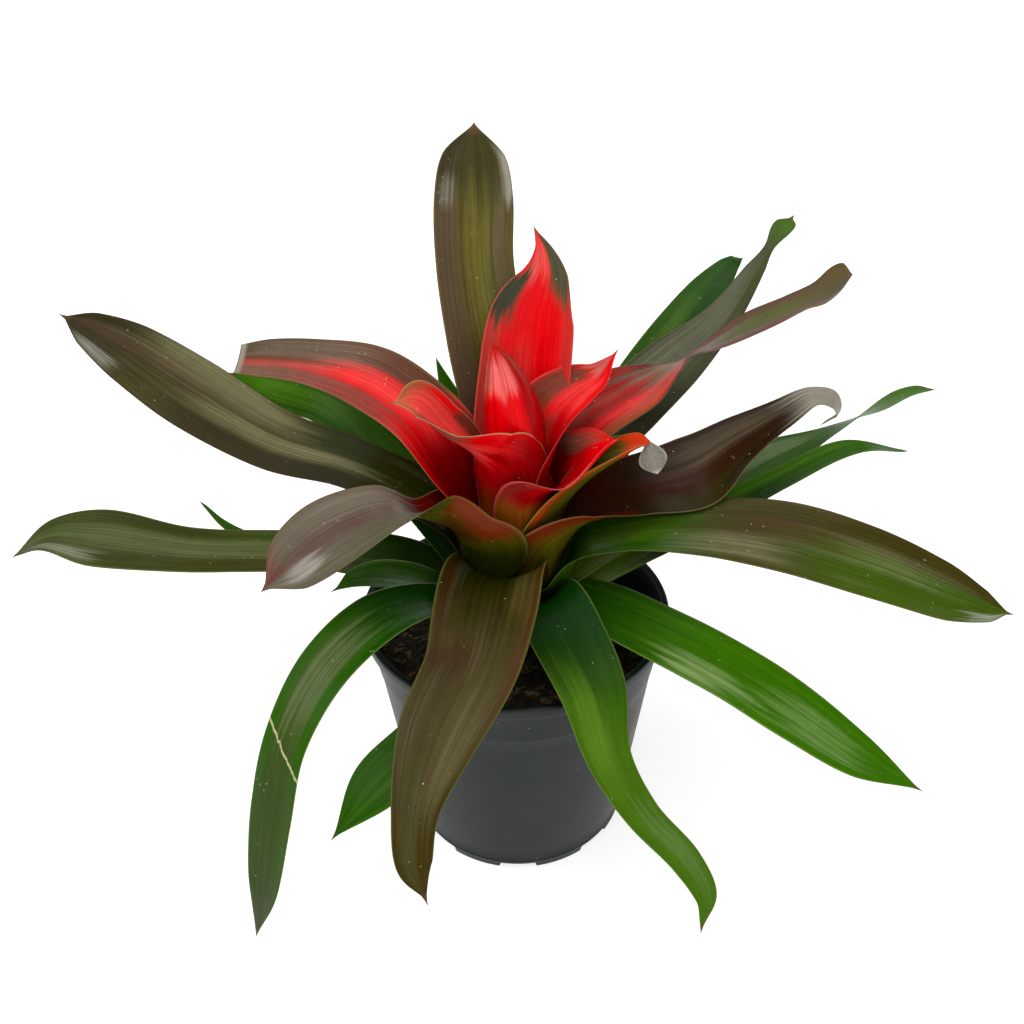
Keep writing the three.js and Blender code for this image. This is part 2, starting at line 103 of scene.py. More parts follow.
class Value:
    """A socket of a node graph, with arithmetic that adds Math nodes."""

    def __init__(self, graph: "Graph", socket: bpy.types.NodeSocket) -> None:
        """Wraps an output socket.

        Args:
            graph: The graph that the socket belongs to.
            socket: The output socket.
        """
        self.graph = graph
        self.socket = socket

    def __add__(self, other: "Value | float") -> "Value":
        """This value plus another."""
        return self.graph.math("ADD", self, other)

    def __radd__(self, other: float) -> "Value":
        """A number plus this value."""
        return self.graph.math("ADD", other, self)

    def __sub__(self, other: "Value | float") -> "Value":
        """This value minus another."""
        return self.graph.math("SUBTRACT", self, other)

    def __rsub__(self, other: float) -> "Value":
        """A number minus this value."""
        return self.graph.math("SUBTRACT", other, self)

    def __mul__(self, other: "Value | float") -> "Value":
        """This value times another."""
        return self.graph.math("MULTIPLY", self, other)

    def __rmul__(self, other: float) -> "Value":
        """A number times this value."""
        return self.graph.math("MULTIPLY", other, self)

    def __truediv__(self, other: "Value | float") -> "Value":
        """This value divided by another."""
        return self.graph.math("DIVIDE", self, other)

    def __pow__(self, other: "Value | float") -> "Value":
        """This value to a power."""
        return self.graph.math("POWER", self, other)

    def __abs__(self) -> "Value":
        """This value without its sign."""
        return self.graph.math("ABSOLUTE", self)

    def smooth(self, low: float, high: float) -> "Value":
        """A soft step of this value, also downwards.

        Args:
            low: Where the step starts, at 0.
            high: Where the step ends, at 1. It may be below low.

        Returns:
            The step, from 0 to 1.
        """
        if high < low:
            return 1 - self.smooth(high, low)
        node = self.graph.node(
            "ShaderNodeMapRange",
            {"interpolation_type": "SMOOTHSTEP"},
            {"Value": self, "From Min": low, "From Max": high},
        )
        return Value(self.graph, node.outputs["Result"])


class Graph:
    """A node tree that is built with plain calls."""

    def __init__(self, tree: bpy.types.NodeTree) -> None:
        """Wraps a node tree.

        Args:
            tree: A shader or a geometry node tree.
        """
        self.tree = tree

    def node(
        self,
        kind: str,
        settings: dict[str, Any] | None = None,
        inputs: dict[str | int, Any] | None = None,
    ) -> bpy.types.Node:
        """Adds a node.

        Args:
            kind: The node's type name.
            settings: Its settings, set before its sockets.
            inputs: The values or links of its sockets, by name or number.

        Returns:
            The node.
        """
        made = self.tree.nodes.new(kind)
        for key, value in (settings or {}).items():
            setattr(made, key, value)
        for key, value in (inputs or {}).items():
            socket = made.inputs[key]
            if isinstance(value, Value):
                self.tree.links.new(value.socket, socket)
            elif isinstance(value, bpy.types.NodeSocket):
                self.tree.links.new(value, socket)
            else:
                socket.default_value = value
        return made

    def out(self, kind: str, output: str | int, settings: Any = None, inputs: Any = None) -> Value:
        """Adds a node and wraps one of its outputs.

        Args:
            kind: The node's type name.
            output: The output's name or number.
            settings: As for node.
            inputs: As for node.

        Returns:
            The wrapped output.
        """
        return Value(self, self.node(kind, settings, inputs).outputs[output])

    def math(self, operation: str, *values: Any) -> Value:
        """A Math node on one or more values."""
        inputs = dict(enumerate(values))
        return self.out("ShaderNodeMath", 0, {"operation": operation}, inputs)

    def vector(self, x: Any = 0.0, y: Any = 0.0, z: Any = 0.0) -> Value:
        """A vector from three values."""
        return self.out("ShaderNodeCombineXYZ", 0, None, {0: x, 1: y, 2: z})

    def vector_math(self, operation: str, first: Any, second: Any) -> Value:
        """A Vector Math node.

        Args:
            operation: What it does.
            first: Its vector.
            second: Its other vector, or the number that SCALE multiplies by.

        Returns:
            The vector.
        """
        place = 3 if operation == "SCALE" else 1
        inputs = {0: first, place: second}
        return self.out("ShaderNodeVectorMath", 0, {"operation": operation}, inputs)

    def noise(
        self, place: Value, scale: float, detail: float = 2.0, rough: float = 0.5, bend: float = 0.0
    ) -> Value:
        """A noise texture.

        Args:
            place: The vector it reads.
            scale: How many of its cells fit in one unit.
            detail: How many finer layers it has.
            rough: How strong the finer layers are.
            bend: How far it is distorted.

        Returns:
            The noise, about 0.5.
        """
        inputs = {"Vector": place, "Scale": scale, "Detail": detail}
        inputs |= {"Roughness": rough, "Distortion": bend}
        return self.out("ShaderNodeTexNoise", 0, None, inputs)

    def spot(self) -> Value:
        """The place in the object, in metres."""
        return self.out("ShaderNodeTexCoord", "Object")

    def attribute(self, key: str) -> Value:
        """An attribute of the mesh as a number."""
        settings = {"attribute_type": "GEOMETRY", "attribute_name": key}
        return self.out("ShaderNodeAttribute", "Fac", settings)

    def dots(self, place: Value, scale: float) -> Value:
        """The distance from the nearest of many scattered points."""
        return self.out("ShaderNodeTexVoronoi", "Distance", None, {"Vector": place, "Scale": scale})

    def mix(self, share: Any, first: Any, second: Any, blend: str = "MIX") -> Value:
        """Mixes two colours by a share.

        Args:
            share: How much of the second colour shows, from 0 to 1.
            first: The first colour.
            second: The second colour.
            blend: The way of mixing.

        Returns:
            The colour.
        """
        settings = {"data_type": "RGBA", "blend_type": blend}
        return self.out("ShaderNodeMix", 2, settings, {0: share, 6: first, 7: second})

    def finish(
        self,
        shader: bpy.types.Node,
        shade: Value,
        rough: Value,
        relief: tuple[Value, float, float] | None = None,
    ) -> None:
        """Joins a finish to its shader.

        Args:
            shader: The Principled shader.
            shade: The base colour.
            rough: The roughness.
            relief: The bump's height, its strength and its depth in metres, if it has one.
        """
        joined = {"Base Color": shade, "Roughness": rough}
        if relief:
            height, strength, depth = relief
            inputs = {"Strength": strength, "Distance": depth, "Height": height}
            joined["Normal"] = self.out("ShaderNodeBump", 0, None, inputs)
        for key, value in joined.items():
            self.tree.links.new(value.socket, shader.inputs[key])


def colour(red: float, green: float, blue: float) -> tuple[float, float, float, float]:
    """Turns a screen colour of 0 to 255, under the studio's light, into a surface's own colour.

    Args:
        red: The red part.
        green: The green part.
        blue: The blue part.

    Returns:
        Linear red, green, blue and an alpha of 1.
    """

    shares = (part / 255 for part in (red, green, blue))
    bare = (s / 12.92 if s <= 0.04045 else ((s + 0.055) / 1.055) ** 2.4 for s in shares)
    return (*(part * REFLECTED for part in bare), 1.0)


def new_material(name: str) -> tuple[bpy.types.Material, Graph, bpy.types.Node]:
    """Makes a material with one Principled shader.

    Args:
        name: The material's name.

    Returns:
        The material, its graph and the shader node.
    """
    material = bpy.data.materials.new(name)
    material.use_nodes = True
    material.node_tree.nodes.clear()
    graph = Graph(material.node_tree)
    shader = graph.node("ShaderNodeBsdfPrincipled")
    graph.node("ShaderNodeOutputMaterial", None, {"Surface": shader.outputs[0]})
    return material, graph, shader


# ------------------------------------------------------------------------------ mesh helpers


def link(name: str, mesh: bpy.types.Mesh) -> bpy.types.Object:
    """Puts a mesh into the scene as an object at the origin.

    Args:
        name: The object's name.
        mesh: The mesh.

    Returns:
        The object.
    """
    made = bpy.data.objects.new(name, mesh)
    bpy.context.scene.collection.objects.link(made)
    return made


def mesh_of(
    name: str, points: Iterable[Sequence[float]], faces: Iterable[Sequence[int]], merge: float = 0.0
) -> bpy.types.Mesh:
    """Makes a smooth mesh.

    Args:
        name: The mesh's name.
        points: Its corners in metres.
        faces: Its faces as corner numbers.
        merge: Corners closer than this, in metres, become one.

    Returns:
        The mesh, with its faces turned outwards.
    """
    mesh = bpy.data.meshes.new(name)
    mesh.from_pydata([tuple(point) for point in points], [], [tuple(face) for face in faces])
    edit = bmesh.new()
    edit.from_mesh(mesh)
    if merge:
        bmesh.ops.remove_doubles(edit, verts=edit.verts, dist=merge)
    bmesh.ops.recalc_face_normals(edit, faces=edit.faces)
    edit.to_mesh(mesh)
    edit.free()
    mesh.polygons.foreach_set("use_smooth", [True] * len(mesh.polygons))
    return mesh


def polar(radius: float, turn: float, height: float) -> Point:
    """A point in metres at a turn about the axis, from a radius and a height in millimetres."""
    return (radius * math.cos(turn) * MM, radius * math.sin(turn) * MM, height * MM)


def ring_faces(first: int, last: int, wide: int) -> list[tuple[int, int, int, int]]:
    """The faces between closed rings of points.

    Args:
        first: The number of the first ring.
        last: The number of the last ring.
        wide: How many points a ring has.

    Returns:
        The faces as corner numbers.
    """
    return [
        (i * wide + j, (i + 1) * wide + j, (i + 1) * wide + (j + 1) % wide, i * wide + (j + 1) % wide)
        for i in range(first, last) for j in range(wide)
    ]


def run_tree(
    name: str, base: bpy.types.Mesh, tree: bpy.types.NodeTree, values: dict[str, Any]
) -> bpy.types.Object:
    """Runs a Geometry Nodes tree on a mesh and keeps the result as a plain mesh.

    Args:
        name: The name of the finished object.
        base: The mesh that the tree starts from.
        tree: The tree.
        values: Its inputs by name.

    Returns:
        The finished object.
    """
    source = link(name + "_source", base)
    modifier = source.modifiers.new("shape", "NODES")
    modifier.node_group = tree
    for item in tree.interface.items_tree:
        if item.in_out == "INPUT" and item.name in values:
            modifier[item.identifier] = values[item.name]
    bpy.context.view_layer.update()
    graph = bpy.context.evaluated_depsgraph_get()
    mesh = bpy.data.meshes.new_from_object(
        source.evaluated_get(graph), preserve_all_data_layers=True, depsgraph=graph
    )
    source.modifiers.remove(modifier)
    bpy.data.objects.remove(source)
    mesh.name = name
    return link(name, mesh)


def new_tree(name: str, inputs: Sequence[tuple[str, str]]) -> tuple[bpy.types.NodeTree, Graph, Any]:
    """Starts a Geometry Nodes tree.

    Args:
        name: The tree's name.
        inputs: Its inputs besides the geometry, as (name, kind).

    Returns:
        The tree, its graph and the node that gives its inputs.
    """
    tree = bpy.data.node_groups.new(name, "GeometryNodeTree")
    interface = tree.interface
    interface.new_socket(name="Geometry", in_out="INPUT", socket_type="NodeSocketGeometry")
    for key, kind in inputs:
        interface.new_socket(name=key, in_out="INPUT", socket_type="NodeSocket" + kind)
    interface.new_socket(name="Geometry", in_out="OUTPUT", socket_type="NodeSocketGeometry")
    graph = Graph(tree)
    return tree, graph, graph.node("NodeGroupInput")


def end_tree(graph: Graph, geometry: Value, material: Value) -> None:
    """Ends a Geometry Nodes tree with smooth faces, real copies and a material.

    Args:
        graph: The tree's graph.
        geometry: What the tree has made.
        material: The material that goes on it.
    """
    smooth = graph.out("GeometryNodeSetShadeSmooth", 0, None, {"Geometry": geometry})
    real = graph.out("GeometryNodeRealizeInstances", 0, None, {"Geometry": smooth})
    dressed = graph.out("GeometryNodeSetMaterial", 0, None, {"Geometry": real, "Material": material})
    graph.node("NodeGroupOutput", None, {"Geometry": dressed})


def seat(piece: bpy.types.Object, slot: Slot, *nodes: str) -> bpy.types.Object:
    """Lets a finished piece ride on the object.

    Args:
        piece: The piece.
        slot: The record's material slot; not used.
        *nodes: The CAD nodes that it stands for.

    Returns:
        The piece.
    """
    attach(piece, BODY)
    if nodes:
        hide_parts(*nodes)
    log.info("%s: %d faces", piece.name, len(piece.data.polygons))
    return piece


# ------------------------------------------------------------------------------ leaf finishes


# What the dark and the pale fibres of a leaf multiply its colour by.
DARK_LINE = (0.82, 0.82, 0.82, 1.0)
PALE_LINE = (1.34, 1.32, 1.28, 1.0)


@dataclass(frozen=True)
class Patch:
    """A soft area of another colour on a leaf.

    along runs from 0 at the stem to 1 at the tip, across from -1 at the right margin to 1 at
    the left one, seen from the stem with the upper face on top. lined is how far the leaf's
    fibres break the patch into lines, as they do with a painted sheen. Most patches are the
    leaf's own tints; some are painted sheens, highlights and reflections, and a few are painted
    light on parts that lie in shade.
    """

    tint: RGB
    along: tuple[float, float]
    across: tuple[float, float] = (-1.5, 1.5)
    soft: float = 0.06
    streaky: float = 0.10
    strength: float = 1.0
    face: Face = Face.BOTH
    lined: float = 0.0


@dataclass(frozen=True)
class LeafFinish:
    """The colours and gloss of one leaf.

    scar is a healed crack right across the leaf, as its place along and its slant.
    """

    blade: RGB
    streak: RGB
    margin: RGB
    back: RGB
    patches: tuple[Patch, ...] = ()
    streak_share: float = 0.5
    margin_share: float = 0.6
    # A pale streaky film on the upper face, its colour and its share: partly the leaf's waxy bloom, partly
    # a painted sheen.
    wax_film_and_sheen: RGB = (176, 170, 156)
    bloom: float = 0.08
    rough: float = 0.3
    specks: float = 0.5
    tip: RGB = (112, 84, 46)
    tip_share: float = 0.8
    scar: tuple[float, float] | None = None
    scar_tint: RGB = (214, 206, 150)
    speck_tint: RGB = (214, 214, 204)
    bump: float = 0.35
    bump_depth: float = 0.00035
    gloss: float = 0.06
    wax: float = 0.02
    wax_rough: float = 0.2
    seed: float = 0.0

    def material(self, name: str) -> bpy.types.Material:
        """Builds the leaf's material.

        Args:
            name: The material's name.

        Returns:
            The material. It reads the attributes that the leaf tree leaves on the blade.
        """
        material, graph, shader = new_material(name)
        along, across, run, upper = map(graph.attribute, ("along", "across", "run", "upper"))
        spot = graph.spot()
        fibres = graph.noise(graph.vector(across * 17, run * 5, self.seed), 1.0, 3.0, 0.75, 0.4)
        veins = graph.noise(graph.vector(across * 34, run * 9, self.seed), 1.0, 3.0, 0.65)
        streaks = graph.noise(graph.vector(across * 4.2, run * 10, self.seed + 3), 1.0, 4.0, 0.62, 0.5)
        mottle = graph.noise(spot, 120.0, 3.0, 0.6)
        lines = fibres.smooth(0.36, 0.64)

        share = streaks.smooth(0.42, 0.62) * self.streak_share
        shade = graph.mix(share, colour(*self.blade), colour(*self.streak))
        shade = graph.mix((1 - upper) * 0.75, shade, colour(*self.back))
        for patch in self.patches:
            mask = self._mask(patch, along, across, upper, streaks, veins)
            if patch.lined:
                mask = mask * (lines * patch.lined + (1 - patch.lined))
            shade = graph.mix(mask, shade, colour(*patch.tint))
        # Pale streaks on the upper face: the leaf's waxy bloom together with a painted sheen.
        wax_film_and_sheen = graph.noise(graph.vector(across * 2.2, run * 16, self.seed + 9), 1.0, 2.0, 0.5)
        wax_film_and_sheen = wax_film_and_sheen.smooth(0.5, 0.75) * upper * lines * self.bloom
        shade = graph.mix(wax_film_and_sheen, shade, colour(*self.wax_film_and_sheen))
        light = lines * 0.5 + veins.smooth(0.35, 0.7) * 0.3 + mottle.smooth(0.35, 0.7) * 0.2
        dark_line = graph.mix(1.0, shade, DARK_LINE, "MULTIPLY")
        pale_line = graph.mix(1.0, shade, PALE_LINE, "MULTIPLY")
        shade = graph.mix(light, dark_line, pale_line)
        edge = abs(across).smooth(0.95, 0.985) * self.margin_share
        shade = graph.mix(edge, shade, colour(*self.margin))
        shade = graph.mix(along.smooth(0.972, 0.99) * self.tip_share, shade, colour(*self.tip))
        if self.scar:
            middle, slant = self.scar
            off = along - across * slant - (streaks - 0.5) * 0.014 - middle
            shade = graph.mix(abs(off).smooth(0.0032, 0.0012) * 0.85, shade, colour(*self.scar_tint))
        dust = graph.dots(spot, 300.0)
        sparse = graph.noise(spot, 90.0, 2.0).smooth(0.56, 0.64)
        dust = dust.smooth(0.15, 0.06) * sparse * self.specks
        shade = graph.mix(dust, shade, colour(*self.speck_tint))
        rough = self.rough + (streaks - 0.5) * 0.18 + (mottle - 0.5) * 0.12 + dust * 0.3
        height = fibres * 0.4 + veins * 0.45 + mottle * 0.15
        graph.finish(shader, shade, rough, (height, self.bump, self.bump_depth))
        shader.inputs["Specular IOR Level"].default_value = self.gloss
        shader.inputs["Coat Weight"].default_value = self.wax
        shader.inputs["Coat Roughness"].default_value = self.wax_rough
        return material

    @staticmethod
    def _mask(
        patch: Patch, along: Value, across: Value, upper: Value, streaks: Value, veins: Value
    ) -> Value:
        """Where a patch shows.

        Args:
            patch: The patch.
            along: The place along the leaf.
            across: The place across the leaf.
            upper: 1 on the upper face.
            streaks: The broad streaks, which fray the patch's ends.
            veins: The fine veins, which fray them further.

        Returns:
            The patch's share, from 0 to 1.
        """
        frayed = along + (streaks - 0.5) * (patch.streaky * 2) + (veins - 0.5) * patch.streaky
        start, end = patch.along
        mask = 1.0
        if start > 0:
            mask = frayed.smooth(start - patch.soft, start + patch.soft)
        if end < 1:
            mask = mask * frayed.smooth(end + patch.soft, end - patch.soft)
        right, left = patch.across
        shifted = across + (veins - 0.5) * 0.25
        if right > -1:
            mask = mask * shifted.smooth(right - 0.14, right + 0.14)
        if left < 1:
            mask = mask * shifted.smooth(left + 0.14, left - 0.14)
        if patch.face is Face.UPPER:
            mask = mask * upper
        if patch.face is Face.LOWER:
            mask = mask * (1 - upper)
        return mask * patch.strength


# Colours of the plant, as they look in soft white light. GREEN_SHEEN is a painted sheen, and ASH is also
# used for painted highlights.
DEEP_GREEN = (14, 54, 2)
LEAF_GREEN = (44, 92, 4)
FRESH_GREEN = (72, 118, 12)
PALE_GREEN = (138, 158, 70)
GREEN_SHEEN = (122, 146, 58)
DARK_BRONZE = (40, 28, 10)
BRONZE = (68, 56, 22)
BROWN = (78, 34, 12)
PURPLE_BRONZE = (88, 62, 50)
GREY_BRONZE = (112, 100, 78)
MOSS = (66, 66, 44)
OLIVE = (92, 94, 18)
HEART_RED = (248, 0, 12)
BRIGHT_RED = (250, 16, 30)
PINK_RED = (240, 96, 88)
DEEP_RED = (112, 0, 4)
ORANGE_RED = (222, 58, 18)
CREAM = (206, 190, 140)
STRAW = (150, 132, 80)
ASH = (172, 168, 152)


def green_leaf(seed: float, patches: tuple[Patch, ...] = (), **changes: Any) -> LeafFinish:
    """A green leaf with a pale sheath.

    Args:
        seed: Shifts its streaks, so that no two leaves match.
        patches: Patches that this leaf has besides the sheath.
        **changes: Fields that differ from the usual green leaf.

    Returns:
        The finish.
    """
    sheath = Patch(PALE_GREEN, (0.0, 0.12), soft=0.06, strength=0.6)
    shaded = Patch(DEEP_GREEN, (0.12, 0.38), soft=0.12, strength=0.7)
    usual = {"blade": LEAF_GREEN, "streak": FRESH_GREEN, "margin": PALE_GREEN, "back": FRESH_GREEN}
    usual |= {"patches": (sheath, shaded, *patches), "wax_film_and_sheen": GREEN_SHEEN}
    return LeafFinish(**{**usual, "seed": seed, **changes})


def bronze_leaf(seed: float, patches: tuple[Patch, ...] = (), **changes: Any) -> LeafFinish:
    """A bronze leaf with an olive sheath.

    Args:
        seed: Shifts its streaks, so that no two leaves match.
        patches: Patches that this leaf has besides the sheath.
        **changes: Fields that differ from the usual bronze leaf.

    Returns:
        The finish.
    """
    sheath = Patch(OLIVE, (0.0, 0.22), soft=0.1, strength=0.8)
    usual = {"blade": BRONZE, "streak": DARK_BRONZE, "margin": STRAW, "back": PURPLE_BRONZE}
    usual |= {"patches": (sheath, *patches), "margin_share": 0.4}
    return LeafFinish(**{**usual, "seed": seed, **changes})


def red_leaf(seed: float, patches: tuple[Patch, ...] = (), **changes: Any) -> LeafFinish:
    """A red leaf of the heart, olive yellow at its foot.

    Args:
        seed: Shifts its streaks, so that no two leaves match.
        patches: Patches that this leaf has besides the sheath.
        **changes: Fields that differ from the usual red leaf.

    Returns:
        The finish.
    """
    sheath = Patch(OLIVE, (0.0, 0.2), soft=0.1, strength=0.9)
    usual = {"blade": HEART_RED, "streak": BRIGHT_RED, "margin": PINK_RED, "back": HEART_RED}
    usual |= {"patches": (sheath, *patches), "bloom": 0.05}
    return LeafFinish(**{**usual, "seed": seed, **changes})


# ------------------------------------------------------------------------------ leaves


class Curve:
    """A smooth open curve through given points, with an even share of its run for each span."""

    def __init__(self, points: Sequence[Sequence[float]], centripetal: bool) -> None:
        """Keeps the points.

        Args:
            points: The points, of any number of parts.
            centripetal: True for a path in space, which then makes no loops where points are
                close. False for plain tension of one half.
        """
        self.points = [tuple(point) for point in points]
        self.centripetal = centripetal

    def at(self, share: float) -> tuple[float, ...]:
        """The point at a share of the curve's spans.

        Args:
            share: The share, from 0 at the first point to 1 at the last.

        Returns:
            The point.
        """
        points = self.points
        last = len(points) - 1
        place = min(max(share, 0.0), 1.0) * last
        first = min(int(place), last - 1)
        weight = place - first
        p1, p2 = points[first], points[first + 1]
        p0 = points[first - 1] if first > 0 else self._beyond(p1, p2)
        p3 = points[first + 2] if first + 2 <= last else self._beyond(p2, p1)
        if not self.centripetal:
            return tuple(
                self._hermite(b, c, 0.5 * (c - a), 0.5 * (d - b), weight)
                for a, b, c, d in zip(p0, p1, p2, p3)
            )
        d0, d1, d2 = (math.sqrt(math.dist(a, b)) for a, b in ((p0, p1), (p1, p2), (p2, p3)))
        parts = []
        for a, b, c, d in zip(p0, p1, p2, p3):
            start = ((b - a) / d0 - (c - a) / (d0 + d1) + (c - b) / d1) * d1
            end = ((c - b) / d1 - (d - b) / (d1 + d2) + (d - c) / d2) * d1
            parts.append(self._hermite(b, c, start, end, weight))
        return tuple(parts)

    @staticmethod
    def _beyond(end: Sequence[float], inner: Sequence[float]) -> tuple[float, ...]:
        """A point as far beyond an end as the next one is inside it."""
        return tuple(2 * a - b for a, b in zip(end, inner))

    @staticmethod
    def _hermite(first: float, second: float, start: float, end: float, weight: float) -> float:
        """One part of a point on a span.

        Args:
            first: The part's value where the span starts.
            second: Its value where the span ends.
            start: Its slope where the span starts.
            end: Its slope where the span ends.
            weight: The share of the span, from 0 to 1.

        Returns:
            The part's value.
        """
        square = -3 * first + 3 * second - 2 * start - end
        cube = 2 * first - 2 * second + start + end
        return first + weight * (start + weight * (square + weight * cube))


LEAF_INPUTS = (
    ("Loop Points", "Int"),
    ("Thickness", "Float"),
    ("Edge Share", "Float"),
    ("Pleat Height", "Float"),
    ("Ripple Height", "Float"),
    ("Seed", "Float"),
    ("Material", "Material"),
)
EVEN_SHARE = 0.62  # how evenly a section's points are spaced, the rest crowding to the rim
RIM_SHARPNESS = 26.0
FOOT_ROWS, TIP_ROWS = 2, 5  # rows over which a leaf grows to its full thickness
DIRECTION_STEP = 1e-4  # share of a curve over which its direction is taken
FLATTEST_BEND = 0.02  # half bend of a flat section, in radians


def leaf_tree() -> bpy.types.NodeTree:
    """The tree that sweeps a leaf's section along its spine.

    The spine is a line whose points carry the section's directions, half width and bend. The
    section is one closed loop, so the leaf has two faces and a rounded rim, and it closes to a
    wedge at both ends.

    Returns:
        The tree.
    """
    tree, graph, given = new_tree("leaf blade", LEAF_INPUTS)
    spine, loop = given.outputs["Geometry"], Value(graph, given.outputs["Loop Points"])
    seed = Value(graph, given.outputs["Seed"])
    component = {"component": "MESH"}
    rows = graph.out("GeometryNodeAttributeDomainSize", "Point Count", component, {"Geometry": spine})
    sizes = {"Vertices X": rows, "Vertices Y": loop}
    grid = graph.out("GeometryNodeMeshGrid", "Mesh", None, sizes)
    index = graph.out("GeometryNodeInputIndex", 0)
    row = graph.math("FLOOR", (index + 0.5) / loop)
    column = index - row * loop

    def sampled(source: Value, kind: str) -> Value:
        """A value of the spine at this row."""
        inputs = {"Geometry": spine, "Value": source, "Index": row}
        return graph.out("GeometryNodeSampleIndex", 0, {"data_type": kind}, inputs)

    def carried(key: str, kind: str = "FLOAT") -> Value:
        """An attribute of the spine at this row."""
        named = graph.out("GeometryNodeInputNamedAttribute", 0, {"data_type": kind}, {"Name": key})
        return sampled(named, kind)

    centre = sampled(graph.out("GeometryNodeInputPosition", 0), "FLOAT_VECTOR")
    spread, facing = carried("spread", "FLOAT_VECTOR"), carried("facing", "FLOAT_VECTOR")
    half, bend, along, run = (carried(key) for key in ("half", "bend", "along", "run"))

    turn = 2 * column / (loop - 1)
    even = 2 * abs(turn - 1) - 1
    across = EVEN_SHARE * even + (1 - EVEN_SHARE) * graph.math("COSINE", turn * math.pi)
    upper = graph.math("LESS_THAN", turn, 1.0)
    square = across * across
    body = Value(graph, given.outputs["Edge Share"]) * square + (1 - square)
    rim = graph.math("SQRT", graph.math("MAXIMUM", 1 - abs(across) ** RIM_SHARPNESS, 0.0))
    foot = graph.math("MINIMUM", row / FOOT_ROWS, 1.0)
    tip = graph.math("MINIMUM", (rows - 1 - row) / TIP_ROWS, 1.0)
    thick = Value(graph, given.outputs["Thickness"]) * body * rim * foot * tip
    rise = (upper - 0.5) * thick

    free = along.smooth(0.22, 0.42) * along.smooth(1.0, 0.9)
    pleats = graph.noise(graph.vector(across * 3.2, along * 1.6, seed), 1.0, 1.0)
    ripple = graph.noise(graph.vector(across * 0.8, run * 22, seed + 7), 1.0, 1.0)
    lift = (pleats - 0.5) * 2 * Value(graph, given.outputs["Pleat Height"])
    wave = (ripple - 0.5) * 2 * Value(graph, given.outputs["Ripple Height"])
    rise = rise + (lift + wave * abs(across) ** 2.0) * free

    angle = across * bend
    radius = half / bend
    sine, cosine = graph.math("SINE", angle), graph.math("COSINE", angle)
    sideways = graph.vector_math("SCALE", spread, radius * sine - rise * sine)
    upwards = graph.vector_math("SCALE", facing, radius * (1 - cosine) + rise * cosine)
    place = graph.vector_math("ADD", centre, graph.vector_math("ADD", sideways, upwards))
    shape = graph.out("GeometryNodeSetPosition", 0, None, {"Geometry": grid, "Position": place})
    for key, value in (("along", along), ("across", across), ("run", run), ("upper", upper)):
        kept = {"Geometry": shape, "Name": key, "Value": value}
        shape = graph.out("GeometryNodeStoreNamedAttribute", 0, {"data_type": "FLOAT"}, kept)
    closed = {"Geometry": shape, "Distance": TOUCHING}
    shape = graph.out("GeometryNodeMergeByDistance", 0, None, closed)
    end_tree(graph, shape, Value(graph, given.outputs["Material"]))
    return tree


